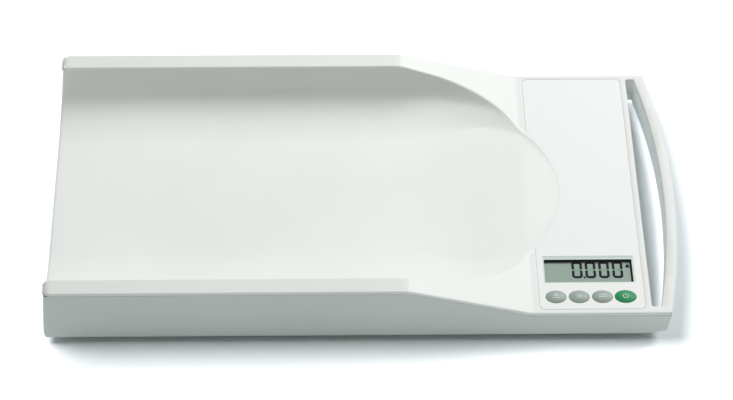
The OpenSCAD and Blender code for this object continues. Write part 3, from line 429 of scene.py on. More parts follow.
def sheet_in_plan(points, loops, outer, holes):
    """The places used, the triangles, and for each place the points it came from."""
    edges = [(a, b) for loop in loops for a, b in zip(loop, loop[1:] + loop[:1])]
    out = geometry.delaunay_2d_cdt([Vector(p) for p in points], edges, [], 0, 1e-4)
    flat = np.array([tuple(p) for p in out[0]])
    tri = np.array([f[:] for f in out[2]])
    middle = flat[tri].mean(1)
    keep = inside(middle, outer)
    for hole in holes:
        keep &= ~inside(middle, hole)
    tri = tri[keep]
    a, b, c = flat[tri[:, 0]], flat[tri[:, 1]], flat[tri[:, 2]]
    area = (b[:, 0] - a[:, 0]) * (c[:, 1] - a[:, 1]) - (b[:, 1] - a[:, 1]) * (c[:, 0] - a[:, 0])
    tri[area < 0] = tri[area < 0][:, ::-1]
    return flat, tri, [list(o) for o in out[3]]


def shaded(data, angle):
    """Smooth shading, except at edges sharper than angle in degrees."""
    data.polygons.foreach_set("use_smooth", [True] * len(data.polygons))
    data.set_sharp_from_angle(angle=angle * deg)


def new_piece(name, points, faces, finish, angle=32):
    """A mesh piece from points in millimetres."""
    data = bpy.data.meshes.new(name)
    data.from_pydata([tuple(float(c) * mm for c in p) for p in points], [],
                     [tuple(map(int, f)) for f in faces])
    data.validate()
    data.materials.append(finish)
    shaded(data, angle)
    return placed(name, data)


def finished(piece):
    """The piece with its modifiers built into a plain mesh."""
    graph = bpy.context.evaluated_depsgraph_get()
    ready = bpy.data.meshes.new_from_object(piece.evaluated_get(graph))
    piece.modifiers.clear()
    old, piece.data = piece.data, ready
    ready.name = piece.name
    bpy.data.meshes.remove(old)
    return piece


def takes_place(piece, node, body="scale"):
    """The piece rides on the body and shows instead of the CAD node."""
    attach(piece, body)
    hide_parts(node)


# %% [markdown]
# ## Top cover
# This is one large moulding, 2.6 mm thick in the CAD model. Its edge rolls over
# at the sides, more broadly at the open end, and ends in a short skirt above the
# seam. A solid with a Bevel modifier would not round such mixed edges evenly, so
# the sheet is built with its rounding. Solidify then gives it a thinner wall of
# 1.6 mm. It is one plastic: the tray and shoulders keep its own tone, the rims,
# console, handle and skirt are darker as painted shade, and the collar of the
# grip slot is lighter as painted light.

# %% Rows of points for the cover
toward = inward(outline)
at_end = np.clip((open_x + 5.2 - outline[:, 0]) / 5.0, 0, 1)
high = np.clip((top_height(outline[:, 0], outline[:, 1]) - 32) / 20, 0, 1)
roll_in = 1.5 + at_end * (0.8 + 3.1 * high)
roll_down = 1.5 - at_end * (0.3 - 2.4 * high)
edge_rows = []                                   # (points, drop below the surface)
for a in (0, 15, 30, 45, 60, 75, 90):
    off = roll_in * (1 - math.sin(a * deg))
    edge_rows.append((outline + toward * off[:, None], roll_down * (1 - math.cos(a * deg))))

slot_roll = 1.1
slot_rows = [(slot_outline(slot_roll * (1 - math.sin(a * deg)) - 0.25, 3.0),
              slot_roll * (1 - math.cos(a * deg))) for a in (0, 22, 45, 67, 90)]
recess_depth = 0.5
recess_rows = [(overlay_outline(out, 2.5), drop) for out, drop in
               ((0.62, 0.0), (0.46, 0.05), (0.36, 0.2), (0.3, recess_depth))]


def meeting(x_at):
    """How far out the tray's side reaches the top. x_at gives x for a distance."""
    lo, hi = 100.0, 150.0
    for _ in range(40):
        mid = (lo + hi) / 2
        x = np.array([x_at(mid)])
        below = tray_side(np.array([mid]), fillet(x))[0] < rim_top(x)[0]
        lo, hi = (mid, hi) if below else (lo, mid)
    return lo


def crest_line(step):
    """Where the tray's side meets the top, from the open end round the head and back."""
    upper = []
    for x in np.concatenate([np.arange(-290, 30, 4.0), np.arange(30, head_x, step)]):
        upper.append((x, meeting(lambda r: x)))
    for t in np.linspace(90, 0, round(190 / step)):
        r = meeting(lambda r: head_x + r * math.cos(t * deg))
        upper.append((head_x + r * math.cos(t * deg), r * math.sin(t * deg)))
    return np.array(upper + [(x, -y) for x, y in upper[-2::-1]])


crest = crest_line(2.0)
way = np.gradient(crest, axis=0)
way /= np.linalg.norm(way, axis=1)[:, None]
crest_out = np.stack([-way[:, 1], way[:, 0]], 1)
spread_at = np.interp(crest[:, 0], [30, 110, 140, 152], [1.45, 1.4, 0.95, 0.75])
crest_rows = [crest + crest_out * (spread_at * k)[:, None]
              for k in (-1.5, -1, -0.66, -0.33, 0, 0.33, 0.66, 1, 1.5)]
cover_holes = console_holes(0.15, 0.35)
print("crest points:", len(crest), "rows:", len(crest_rows), "holes:", len(cover_holes))

# %% The cover's sheet
def cover_points():
    """Rows along every edge first, then a thin filling that keeps clear of them."""
    places, drops, loops = [], [], []

    def add(points, drop):
        start = len(places)
        places.extend(map(tuple, points))
        drops.extend(drop if np.ndim(drop) else [drop] * len(points))
        return list(range(start, len(places)))

    for rows in (edge_rows, slot_rows):
        for points, drop in rows:
            ring = add(points, drop)
        loops.append(ring)
    loops += [add(points, drop) for points, drop in recess_rows]
    loops += [add(hole, recess_depth) for hole in cover_holes]
    for x in (148, 149.5, 151, 152, 153, 154.5, 156):      # crease of shoulders and console
        least = 1.6 + abs(np.interp(x, [148, 156], [87.4, 81.6]))
        for s in (-1, 1):
            add([(x, s * y) for y in np.arange(86, 157, 3.0) if y > least], 0)
    for x in (32, 34, 36.5, 38.3, 40, 42.5, 44.5):         # crest of rims and shoulders
        for s in (-1, 1):
            add([(x, s * y) for y in np.arange(144, 157.4, 2.2)], 0)
    for x in (148.5, 150, 151.2, 152, 152.8, 154, 155.5):  # crease in the tray
        add([(x, y) for y in np.arange(-78, 78.1, 3.0)], 0)
    recess = recess_rows[-1][0]
    for row in crest_rows:
        add(row, np.where(inside(row, recess), recess_depth, 0.0))
    tree = kdtree.KDTree(len(places))
    for i, p in enumerate(places):
        tree.insert((p[0], p[1], 0), i)
    tree.balance()
    profile = [0, 14, 28, 42, 56, 66]
    profile += [bow_start + bow_r * math.sin(a * deg) for a in np.arange(0, 25, 1.5)]
    profile += [bow_x + turn_r * (math.sin(a * deg) - math.sin(bow_angle))
                for a in np.arange(25, 64, 4)]
    profile += [turn_x, turn_x + 2, turn_x + 4.2, turn_x + 6.4, 144, 147, 150, 153, 156]
    more = []
    for x in np.concatenate([np.arange(-290, 30, 4.0), np.arange(30, head_x, 4.0)]):
        more += [(x, s * r) for r in profile for s in ((-1, 1) if r else (1,))]
    for t in np.arange(-90, 90.1, 1.6):
        more += [(head_x + r * math.cos(t * deg), r * math.sin(t * deg))
                 for r in profile if 30 < r < 142]
    more += [(x, y) for x in np.arange(head_x, 108, 6) for y in np.arange(-36, 36.1, 6)
             if math.hypot(x - head_x, y) < 31]
    more += [(x, s * y) for x in np.arange(40, 158, 4.0) for y in np.arange(90, 157, 4.0)
             for s in (-1, 1)]
    more += [(x, y) for x in np.arange(160, 293, 8.0) for y in np.arange(-156, 156.1, 8.0)]
    more = np.array(more)
    kept = []
    for p in more[inside(more, outline)]:
        clear = 1.3 if p[0] < 36 or p[1] != 0 and p[0] < 156 else 2.2
        if tree.find((p[0], p[1], 0))[2] > clear:
            kept.append(tuple(p))
    drops += [recess_depth if r else 0.0 for r in inside(np.array(kept), recess)]
    return np.array(places + kept), np.array(drops), loops


cover_plan, cover_drop, cover_loops = cover_points()
outer_loop, slot_loop = cover_plan[cover_loops[0]], cover_plan[cover_loops[1]]
flat, triangles, origin = sheet_in_plan(cover_plan, cover_loops, outer_loop,
                                        [slot_loop] + cover_holes)
drop = np.array([cover_drop[o[0]] if o else 0.0 for o in origin])
lifted = top_height(flat[:, 0], flat[:, 1]) - drop
print("cover sheet:", len(flat), "points,", len(triangles), "triangles")

# %% Skirts of the cover
skirt_depth = 2.9
cover_wall, cover_angle = 0.0016, 40             # m, degrees
end_zone, end_lean = 8.5, 0.0654                 # the open end leans out towards its top
handle_x, handle_in, handle_down = 277, 3, 21.7  # the handle's side leans in towards its foot
collar_z = 7.4                                   # lower end of the grip slot's collar
deep_shade_index, tray_index, collar_light_index = 1, 2, 3


def leaned(points):
    points = np.array(points, float)
    near_end = np.clip((open_x + end_zone - points[:, 0]) / end_zone, 0, 1)
    points[:, 0] += near_end * end_lean * (points[:, 2] - rim_height)
    return points


def surface_way(x, y):
    """The top's normal across the scale, which leads the open end's skirt inwards."""
    h = 0.05
    rise = (top_height(x, y + h) - top_height(x, y - h)) / (2 * h)
    return rise / np.sqrt(1 + rise ** 2), 1 / np.sqrt(1 + rise ** 2)


place_of = {k: i for i, o in enumerate(origin) for k in o}
skin_points = [(x, y, z) for (x, y), z in zip(flat, lifted)]
skin_faces = [tuple(t) for t in triangles]


def add_skirt(loop, lower, hole=False):
    """Hangs a strip from the boundary loop, given the places of its lower edge."""
    top, start, n = [place_of[k] for k in loop], len(skin_points), len(loop)
    skin_points.extend(map(tuple, lower))
    for k in range(n):
        strip = (top[(k + 1) % n], top[k], start + k, start + (k + 1) % n)
        skin_faces.append(strip[::-1] if hole else strip)


edge_z = top_height(outer_loop[:, 0], outer_loop[:, 1], even_blend)
sy, cz = surface_way(np.full(len(outer_loop), -200.0), outer_loop[:, 1])
share = np.clip((open_x + 4.5 - outer_loop[:, 0]) / 4.0, 0, 1)


def below_edge(x, y, depth):
    """Places at a depth under the outer edge: straight down, or square to the open end's top."""
    return np.stack([x, y + share * depth * sy, edge_z - depth * (1 - share + share * cz)], 1)


lean_in = np.where(outer_loop[:, 0] > handle_x, handle_in / handle_down * skirt_depth * 0.6, 0)
add_skirt(cover_loops[0], below_edge(outer_loop[:, 0] - lean_in, outer_loop[:, 1], skirt_depth))
add_skirt(cover_loops[1], [(x, y, collar_z) for x, y in slot_loop], hole=True)
for loop, hole in zip(cover_loops[-len(cover_holes):], cover_holes):
    add_skirt(loop, [(x, y, console_height - 2.5) for x, y in hole], hole=True)
cover = new_piece("top_cover_skin", leaned(skin_points), skin_faces, cover_plastic, cover_angle)
for finish in (base_plastic, tray_plastic, collar_plastic):
    cover.data.materials.append(finish)
# Faces of the tray and shoulders keep the plastic's own tone; the rest of the top gets the darker
# tone as painted shade, the skirt a darker one still as painted shade, and the slot's collar a
# lighter one as painted light.
mx, my = flat[triangles].mean(1).T
fine = tray_side(from_middle(mx, my), fillet(mx)) < rim_top(mx)
fine |= (np.hypot(mx - head_x, my) < meet_r + 1.6) | (mx > shoulder_x) & (mx < crease_x)
zone = np.zeros(len(cover.data.polygons), np.int32)
skirt_start, collar_start = len(triangles), len(triangles) + len(outer_loop)
zone[:skirt_start][fine] = tray_index
zone[skirt_start:collar_start] = deep_shade_index
zone[collar_start:collar_start + len(slot_loop)] = collar_light_index
cover.data.polygons.foreach_set("material_index", zone)
print("skirts:", len(zone), "faces, box", [round(v, 4) for v in cover.dimensions])

# %% Wall of the cover
wall = cover.modifiers.new("wall", "SOLIDIFY")
wall.thickness, wall.offset = cover_wall, -1
finished(cover)
cover.data.set_sharp_from_angle(angle=cover_angle * deg)
takes_place(cover, "top_cover")
tops.objects.link(cover)
print("cover:", len(cover.data.polygons), "faces")

# %% [markdown]
# ## Lip behind the seam
# Under the cover's skirt a narrow gap runs round the whole body. A lip of the
# base stands behind it, as on real housings, so that no one can look inside.

# %% Lip behind the seam
lip_points, lip_faces, n = [], [], len(outer_loop)
for depth, inset in ((1.0, 1.7), (5.5, 1.7), (5.5, 2.7), (1.0, 2.7)):
    row = outer_loop + toward * inset
    lip_points += list(below_edge(row[:, 0], row[:, 1], depth))
for i in range(4):
    a, b = i * n, (i + 1) % 4 * n
    lip_faces += [(a + k, b + k, b + (k + 1) % n, a + (k + 1) % n) for k in range(n)]
# the lip's darker tone is painted shade
lip = new_piece("seam_lip", leaned(lip_points), lip_faces, base_plastic, cover_angle)
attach(lip, "scale")
print("lip:", len(lip_faces), "faces")

# %% [markdown]
# ## Base shell
# The base has the CAD model's true shape, with its slot, ribs, seats and
# screw wells. Its mesh is loose triangles, so a merged copy is made, which can
# be shaded smoothly round its curved faces and sharply at its edges.

# %% Base shell
def merged_copy(node, name, finish, angle):
    """A copy of a CAD node whose triangles are joined, so that it can be shaded smoothly."""
    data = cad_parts[node].data.copy()
    data.name = name
    data.materials.clear()
    data.materials.append(finish)
    shape = bmesh.new()
    shape.from_mesh(data)
    bmesh.ops.remove_doubles(shape, verts=shape.verts, dist=1e-6)
    bmesh.ops.dissolve_degenerate(shape, edges=shape.edges, dist=1e-7)
    shape.to_mesh(data)
    shape.free()
    if "custom_normal" in data.attributes:
        data.attributes.remove(data.attributes["custom_normal"])
    data.polygons.foreach_set("material_index", [0] * len(data.polygons))
    shaded(data, angle)
    return placed(name, data)


def stand_in(node, name, finish, body="scale", angle=30):
    """A smoothly shaded copy that takes the node's place on its body."""
    piece = merged_copy(node, name, finish, angle)
    takes_place(piece, node, body)
    return piece


# the base's darker tone is painted shade on its walls
base = stand_in("base_shell", "base_body", base_plastic, angle=20)
print("base:", len(base.data.polygons), "faces")

# %% [markdown]
# ## Console overlay
# A thin printed panel lies in a shallow recess of the console, with a window
# for the display and four holes for the keys. It could be a cut-out curve, but
# the same triangulated sheet keeps its arc exactly on the tray's round head, and
# a row set slightly inwards breaks its edge so that it catches a line of light.

# %% Flat panels
def panel(name, outer, holes, z_top, thick, finish, soft, grid=8):
    """A flat panel with its edges broken by soft, in millimetres."""
    rings = [(outer, soft), (outer + inward(outer) * soft, 0)]
    for hole in holes:
        rings += [(hole, soft), (hole - inward(hole) * soft, 0)]
    places, drops, loops = [], [], []
    for ring, down in rings:
        loops.append(list(range(len(places), len(places) + len(ring))))
        places += [tuple(q) for q in ring]
        drops += [down] * len(ring)
    lo, hi = outer.min(0), outer.max(0)
    inner = np.array([(x, y) for x in np.arange(lo[0] + grid / 2, hi[0], grid)
                      for y in np.arange(lo[1] + grid / 2, hi[1], grid)])
    good = inside(inner, outer + inward(outer) * 1.5)
    for hole in holes:
        good &= ~inside(inner, hole - inward(hole) * 1.5)
    places += [tuple(q) for q in inner[good]]
    drops += [0] * int(good.sum())
    plan, tri, born = sheet_in_plan(places, loops, outer, holes)
    n = len(plan)
    points = [(x, y, z_top - (drops[o[0]] if o else 0.0)) for (x, y), o in zip(plan, born)]
    points += [(x, y, z_top - thick) for x, y in plan]
    faces = [tuple(t) for t in tri] + [(t[2] + n, t[1] + n, t[0] + n) for t in tri]
    index_of = {k: i for i, o in enumerate(born) for k in o}
    for loop in loops[::2]:
        ring = [index_of[k] for k in loop]
        if loop is not loops[0]:
            ring = ring[::-1]
        faces += [(a, a + n, b + n, b) for a, b in zip(ring, ring[1:] + ring[:1])]
    return new_piece(name, points, faces, finish, 30)


key_gloss = 0.25
overlay_plastic = moulded("overlay_film", (0.750, 0.760, 0.750), 0.5, grain=4200, depth=0.00001,
                          spread=0.006, specular=key_gloss)
overlay = panel("console_panel", overlay_outline(0, 2.5), console_holes(0.1, 0.32),
                console_height, 0.48, overlay_plastic, soft=0.1)
takes_place(overlay, "console_overlay")
tops.objects.link(overlay)
print("overlay:", len(overlay.data.polygons), "faces")

# %% [markdown]
# ## Keys
# Each key is one soft moulding: a low oval dome, a flange that keeps it under
# the cover, and a stem that stands over its switch. The dome is drawn as rings
# of points, which gives its edge a small rounding that a scaled sphere lacks.

# %% Keys
key_crown = 1.3


def key_height(r):
    """Height of the dome over its own edge at share r of its radius."""
    return key_crown * (1 - max(0.0, min(1.0, r)) ** 2.4)


def key_rings(a, b, top):
    """Rings (a, b, z) of dome, side, flange and stem, from the top down."""
    edge = top - key_crown
    return [(a * r, b * r, edge + key_height(r))
            for r in (0.12, 0.28, 0.44, 0.58, 0.7, 0.8, 0.88, 0.94, 0.98)] + [
        (a, b, edge), (a, b, edge - 0.25), (a, b, 31.9), (a, b, 31.8),
        (a + 0.8, b + 0.8, 31.75), (a + 0.8, b + 0.8, 30.42), (a - 0.2, b - 0.2, 30.4),
        (a - 1.4, b - 1.4, 30.9), (a * 0.5, b * 0.5, 30.9), (2.2, 2.2, 30.8),
        (2.2, 2.2, 29.3), (2.0, 2.0, 29.21)]


def ringed(name, cx, cy, rings, finish, n=64):
    """A closed piece from rings, with a point in the middle of its top and underside."""
    turns = [2 * math.pi * k / n for k in range(n)]
    points = [(cx, cy, rings[0][2] + 0.004)]
    points += [(cx + a * math.cos(t), cy + b * math.sin(t), z) for a, b, z in rings for t in turns]
    points.append((cx, cy, rings[-1][2]))
    faces = [(0, 1 + k, 1 + (k + 1) % n) for k in range(n)]
    for i in range(len(rings) - 1):
        u, v = 1 + i * n, 1 + (i + 1) * n
        faces += [(u + k, v + k, v + (k + 1) % n, u + (k + 1) % n) for k in range(n)]
    last = 1 + (len(rings) - 1) * n
    faces += [(len(points) - 1, last + (k + 1) % n, last + k) for k in range(n)]
    return new_piece(name, points, faces, finish, 35)


grey_key = moulded("key_grey", (0.375, 0.44, 0.405), 0.45, grain=3000, depth=0.00002,
                   spread=0.015, specular=key_gloss)
green_key = moulded("key_green", (0.014, 0.305, 0.112), 0.5, grain=3000, depth=0.00002,
                    spread=0.02, specular=key_gloss)
for name, (x, a, b) in zip(key_names, key_spots):
    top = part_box("key_" + name)[1].z / mm
    finish, slot = (green_key, "key_green") if name == "start" else (grey_key, "key_grey")
    cap = ringed("cap_" + name, x, key_y, key_rings(a, b, top), finish)
    takes_place(cap, "key_" + name, name + "_button")
    print(cap.name, "top", round(top, 2), "mm")

# %% [markdown]
# ## Marks on the keys
# The keys carry small pale marks. Here they are general signs: a triangle over
# a bar for memory, two bars for hold, two opposed arrows for units and the usual
# sign for power on the green key. Each is a thin ribbon laid on the dome, so the
# mark is real geometry that follows the curve.

# %% Marks on the keys
mark_print = moulded("mark_print", (0.80, 0.84, 0.82), 0.5, grain=5000, depth=0.000004,
                     spread=0.01)
mark_scale, mark_width, mark_lift, mark_root = 1.2, 0.5, 0.03, 0.05


def ribbon(line, height, steps):
    """Points and faces of a flat ribbon along a line in plan, laid on a height."""
    fine = []
    for a, b in zip(line, line[1:]):
        fine += [(a[0] + (b[0] - a[0]) * k / steps, a[1] + (b[1] - a[1]) * k / steps)
                 for k in range(steps)]
    fine = np.array(fine + [line[-1]], float)
    way = np.gradient(fine, axis=0)
    way /= np.linalg.norm(way, axis=1)[:, None] + 1e-9
    side = np.stack([-way[:, 1], way[:, 0]], 1) * mark_width / 2
    points = []
    for q, w in zip(fine, side):
        for x, y in (q - w, q + w):
            points += [(x, y, height(x, y) + mark_lift), (x, y, height(x, y) - mark_root)]
    end = 4 * (len(fine) - 1)
    faces = []
    for a in range(0, end, 4):
        b = a + 4
        faces += [(a, b, b + 2, a + 2), (a + 1, a + 3, b + 3, b + 1), (a, a + 1, b + 1, b),
                  (a + 2, b + 2, b + 3, a + 3)]
    return points, faces + [(0, 2, 3, 1), (end, end + 1, end + 3, end + 2)]


signs = {
    "memory": [[(-1.5, 0.5), (0, 3.0), (1.5, 0.5), (-1.5, 0.5)], [(-2.6, -1.6), (2.6, -1.6)]],
    "hold": [[(-1.0, -1.7), (-1.0, 1.7)], [(1.0, -1.7), (1.0, 1.7)]],
    "units": [[(-2.8, 0.8), (2.8, 0.8)], [(1.7, 1.9), (2.8, 0.8)],
              [(2.8, -0.9), (-2.8, -0.9)], [(-1.7, -2.0), (-2.8, -0.9)]],
    "start": [arc(0, -0.2, 2.0, 125 * deg, 415 * deg, 16), [(0, 0.6), (0, 2.6)]],
}
for name, (x, a, b) in zip(key_names, key_spots):
    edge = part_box("key_" + name)[1].z / mm - key_crown

    def on_dome(px, py):
        return edge + key_height(math.hypot((px - x) / a, (py - key_y) / b))

    points, faces = [], []
    for line in signs[name]:
        line = [(x + mark_scale * px, key_y + mark_scale * py) for px, py in line]
        more, quads = ribbon(line, on_dome, 3 if len(line) > 4 else 6)
        faces += [tuple(i + len(points) for i in f) for f in quads]
        points += more
    sign = new_piece("sign_" + name, points, faces, mark_print, 30)
    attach(sign, name + "_button")
print("marks:", list(signs))

# %% [markdown]
# ## Display
# Behind the lens lie a pale printed border, a dark frame and the crystal glass,
# grey green with dark blue segments. The digits are built segment by segment
# from one seven-part figure, as on the real glass: lit parts are dark, and the
# unlit middle bars show as a slightly greener tone.

# %% Finishes of the display
crystal = moulded("crystal_glass", (0.325, 0.425, 0.360), 0.5, grain=900, depth=0.000002,
                  spread=0.03, specular=0.25)
segment_ink = moulded("segment_ink", (0.012, 0.010, 0.030), 0.7, grain=3000, depth=0.000002,
                      spread=0.05, specular=0.1)
ghost_ink = moulded("ghost_ink", (0.26, 0.43, 0.31), 0.6, grain=3000, depth=0.000002,
                    spread=0.02, specular=0.2)
border_print = moulded("mask_print", (0.60, 0.70, 0.655), 0.45, grain=3000, depth=0.000004,
                       spread=0.01)
frame_plastic = moulded("dark_plastic", (0.014, 0.012, 0.032), 0.65, grain=2400, depth=0.00001,
                        specular=0.15)
# the border print made lighter, as painted light where the liner's slope lies in shade
liner_print = moulded("liner_print", (0.80, 0.90, 0.86), 0.5, grain=3000, depth=0.000004,
                      spread=0.01)
lens_clear, _, lens_shader = shader_tree("lens_clear")
set_inputs(lens_shader, Base_Color=(0.05, 0.06, 0.055, 1), Roughness=0.3,
           Specular_IOR_Level=0.2, Alpha=0.02)


def dress(finish, *nodes):
    """Gives CAD nodes that stay a procedural finish in place of their plain one."""
    for node in nodes:
        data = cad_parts[node].data
        if not data.materials:
            data.materials.append(finish)
        for k in range(len(data.materials)):
            data.materials[k] = finish


dress(lens_clear, "display_lens")
dress(border_print, "display_mask")
dress(frame_plastic, "display_holder")
dress(crystal, "display_glass")
print("display finishes:", crystal.name, segment_ink.name, lens_clear.name)

# %% Segments and frame of the display
glass_z = 31.2


def bar_outline(x0, x1, y0, y1, cut):
    """A seven-segment bar: long box with its ends cut to points."""
    mx, my = (x0 + x1) / 2, (y0 + y1) / 2
    if x1 - x0 > y1 - y0:
        return [(x0, my), (x0 + cut, y0), (x1 - cut, y0), (x1, my), (x1 - cut, y1), (x0 + cut, y1)]
    return [(mx, y0), (x1, y0 + cut), (x1, y1 - cut), (mx, y1), (x0, y1 - cut), (x0, y0 + cut)]


def box(x0, x1, y0, y1):
    return [(x0, y0), (x1, y0), (x1, y1), (x0, y1)]


def raised(outlines, name, thick, finish):
    """Flat figures that stand a hair above the glass."""
    points, faces = [], []
    for line in outlines:
        n, s = len(line), len(points)
        points += [(x, y, z) for z in (glass_z + thick, glass_z - 0.02) for x, y in line]
        faces.append(tuple(s + k for k in range(n)))
        faces.append(tuple(s + n + k for k in range(n))[::-1])
        faces += [(s + k, s + n + k, s + n + (k + 1) % n, s + (k + 1) % n) for k in range(n)]
    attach(new_piece(name, points, faces, finish, 20), "scale")


lit, unlit = [], []
digit_w, digit_y0, digit_y1, across, along = 9.9, -112.5, -91.2, 2.45, 3.1
my = (digit_y0 + digit_y1) / 2
for cx in (196.0, 208.4, 220.95, 233.5):
    x0, x1 = cx - digit_w / 2, cx + digit_w / 2
    for y in (digit_y1 - along, digit_y0):
        lit.append(bar_outline(x0 + 0.9, x1 - 0.9, y, y + along, 1.3))
    for x in (x0, x1 - across):
        lit.append(bar_outline(x, x + across, my + 0.25, digit_y1 - 1.1, 1.2))
        lit.append(bar_outline(x, x + across, digit_y0 + 1.1, my - 0.25, 1.2))
    unlit.append(bar_outline(x0 + 1.0, x1 - 1.0, my - along / 2, my + along / 2, 1.3))
lit.append(box(201.5, 203.4, -112.6, -110.2))    # the point
lit.append([(240.9, -99.2), (245.3, -99.2), (244.5, -95.6), (241.7, -95.6)])
lit.append(box(242.4, 243.8, -95.4, -94.2))      # with the line above, a small weight
raised(lit, "lit_segments", 0.03, segment_ink)
raised(unlit, "unlit_segments", 0.02, ghost_ink)
# a dark strip on the glass along its top and right edges: partly the frame's dark inner wall seen
# at a slant, partly painted shadow of that wall
raised([box(245.3, 247.0, -119.7, -91.0), box(165.6, 247.0, -92.0, -91.0)],
       "display_frame_line", 0.12, segment_ink)
print("segments:", len(lit), "lit,", len(unlit), "unlit")

# %% Liner of the window
x0, x1, y0, y1 = window
mouth, foot = box(x0, x1, y0, y1), box(x0 + 0.6, x1 - 1.2, y0 + 0.5, y1 - 1.2)
liner_points = [(x, y, z) for loop, z in ((mouth, 34.62), (foot, 33.94), (mouth, 33.92))
                for x, y in loop]
liner_faces = [(i + k, i + (k + 1) % 4, (i + 4 + (k + 1) % 4) % 12, (i + 4 + k) % 12)
               for i in (0, 4, 8) for k in range(4)]
# its lighter print is painted light
liner = new_piece("window_liner", liner_points, liner_faces, liner_print, 20)
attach(liner, "scale")
tops.objects.link(liner)
print("liner:", len(liner_faces), "faces")

# %% [markdown]
# ## Parts that repeat: screws
# The housing is held by ten screws deep in wells of the base, the clamps and
# the board by smaller ones. One screw is drawn once, as a turned profile with a
# cross recess, and Geometry Nodes set a copy on every point where the CAD model
# has one. The tree has named inputs for the screw and its scale, and ends in
# real, not instanced, geometry, which is what leaves with the export.

# %% Loose parts of a CAD node
def parts_of(node):
    """(lowest corner, highest corner, points) of each loose part of a node, in millimetres."""
    shape = bmesh.new()
    shape.from_mesh(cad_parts[node].data)
    bmesh.ops.remove_doubles(shape, verts=shape.verts, dist=1e-6)
    seen, found = set(), []
    for start in shape.verts:
        if start.index in seen:
            continue
        group, queue = [], [start]
        seen.add(start.index)
        while queue:
            v = queue.pop()
            group.append(tuple(c * 1000 for c in v.co))
            for e in v.link_edges:
                w = e.other_vert(v)
                if w.index not in seen:
                    seen.add(w.index)
                    queue.append(w)
        points = np.array(group)
        found.append((points.min(0), points.max(0), points))
    shape.free()
    return found


# %% Node trees
def open_tree(name, **kinds):
    """A Geometry Nodes tree with named inputs, their identifiers, and its two ends."""
    tree = bpy.data.node_groups.new(name, "GeometryNodeTree")
    tree.is_modifier = True
    ids = {}
    for label, kind in kinds.items():
        label = label.replace("_", " ")
        ids[label] = tree.interface.new_socket(
            name=label, in_out="INPUT", socket_type="NodeSocket" + kind).identifier
    tree.interface.new_socket(name="Result", in_out="OUTPUT", socket_type="NodeSocketGeometry")
    return tree, ids, tree.nodes.new("NodeGroupInput"), tree.nodes.new("NodeGroupOutput")


def close_tree(tree, given, out, shape):
    """Makes the shape real, paints it with the given finish and ends the tree."""
    real = tree.nodes.new("GeometryNodeRealizeInstances")
    paint = tree.nodes.new("GeometryNodeSetMaterial")
    for start, end in ((shape, real.inputs[0]), (real.outputs[0], paint.inputs["Geometry"]),
                       (given.outputs["Finish"], paint.inputs["Material"]),
                       (paint.outputs[0], out.inputs[0])):
        tree.links.new(start, end)


def built(host, tree, ids, **values):
    """Runs a tree on the host with these inputs and keeps the plain mesh."""
    nodes = host.modifiers.new("nodes", "NODES")
    nodes.node_group = tree
    for label, value in values.items():
        nodes[ids[label.replace("_", " ")]] = value
    return finished(host)


screw_tree, screw_ids, given, out = open_tree(
    "screw_set", Points="Geometry", Piece="Object", Size="Float", Finish="Material")
source = screw_tree.nodes.new("GeometryNodeObjectInfo")
copies = screw_tree.nodes.new("GeometryNodeInstanceOnPoints")
for start, end in ((given.outputs["Piece"], source.inputs["Object"]),
                   (given.outputs["Points"], copies.inputs["Points"]),
                   (source.outputs["Geometry"], copies.inputs["Instance"]),
                   (given.outputs["Size"], copies.inputs["Scale"])):
    screw_tree.links.new(start, end)
close_tree(screw_tree, given, out, copies.outputs[0])


def repeated(name, spots, piece, finish):
    """One mesh with a copy of piece at each spot, in millimetres."""
    data = bpy.data.meshes.new(name)
    data.from_pydata([tuple(float(c) * mm for c in q) for q in spots], [], [])
    host = built(placed(name, data), screw_tree, screw_ids, Piece=piece, Size=1.0, Finish=finish)
    shaded(host.data, 30)
    return host


print("inputs of the screw tree:", list(screw_ids))

# %% [markdown]
# ## Metals, rubber and small plastics
# The hidden pieces are seen when the battery door is open or the housing is
# taken apart, so each has the finish of its real material: nickel plate, zinc
# plated steel, milled aluminium, solder resist, printed cell sleeves and rubber.

# %% Finishes of the small pieces
def metal(name, colour, rough, streak=(60, 900, 60)):
    """Metal with fine streaks along the axis of the two smaller numbers of streak."""
    finish, tree, shader = shader_tree(name)
    stretch = tree.nodes.new("ShaderNodeMapping")
    set_inputs(stretch, Scale=streak)
    where = tree.nodes.new("ShaderNodeTexCoord").outputs["Object"]
    tree.links.new(where, stretch.inputs["Vector"])
    grain = noise(tree, stretch.outputs[0], 4, 4)
    textured(tree, shader, grain, rough - 0.08, rough + 0.1, grain, 0.00001)
    set_inputs(shader, Base_Color=colour + (1,), Metallic=1.0)
    return finish


zinc = metal("screw_steel", (0.56, 0.56, 0.57), 0.32)
nickel = metal("contact_steel", (0.66, 0.65, 0.62), 0.28)
milled = metal("cell_steel", (0.60, 0.61, 0.63), 0.38, (900, 60, 60))
rubber = moulded("pad_rubber", (0.045, 0.047, 0.05), 0.75, grain=1500, depth=0.00004, spread=0.06)
contact_rubber = moulded("contact_rubber", (0.015, 0.015, 0.017), 0.7, grain=2000, depth=0.00002)
cup_plastic = moulded("cup_plastic", (0.52, 0.54, 0.52), 0.5)
clamp_plastic = moulded("clamp_plastic", (0.50, 0.52, 0.50), 0.5)
bay_plastic = moulded("bay_plastic", (0.50, 0.53, 0.51), 0.5)
ivory = moulded("ivory_plastic", (0.62, 0.58, 0.42), 0.4)
black_plastic = moulded("black_plastic", (0.012, 0.012, 0.013), 0.42, grain=3500, depth=0.00002,
                        spread=0.1)
plunger_plastic = moulded("plunger_plastic", (0.30, 0.03, 0.02), 0.4, spread=0.03)
lead_sleeve = moulded("lead_sleeve", (0.09, 0.09, 0.095), 0.45, grain=900, depth=0.00002,
                      spread=0.05)
board_green = moulded("board_green", (0.012, 0.10, 0.035), 0.3, grain=500, depth=0.00002,
                      spread=0.12)

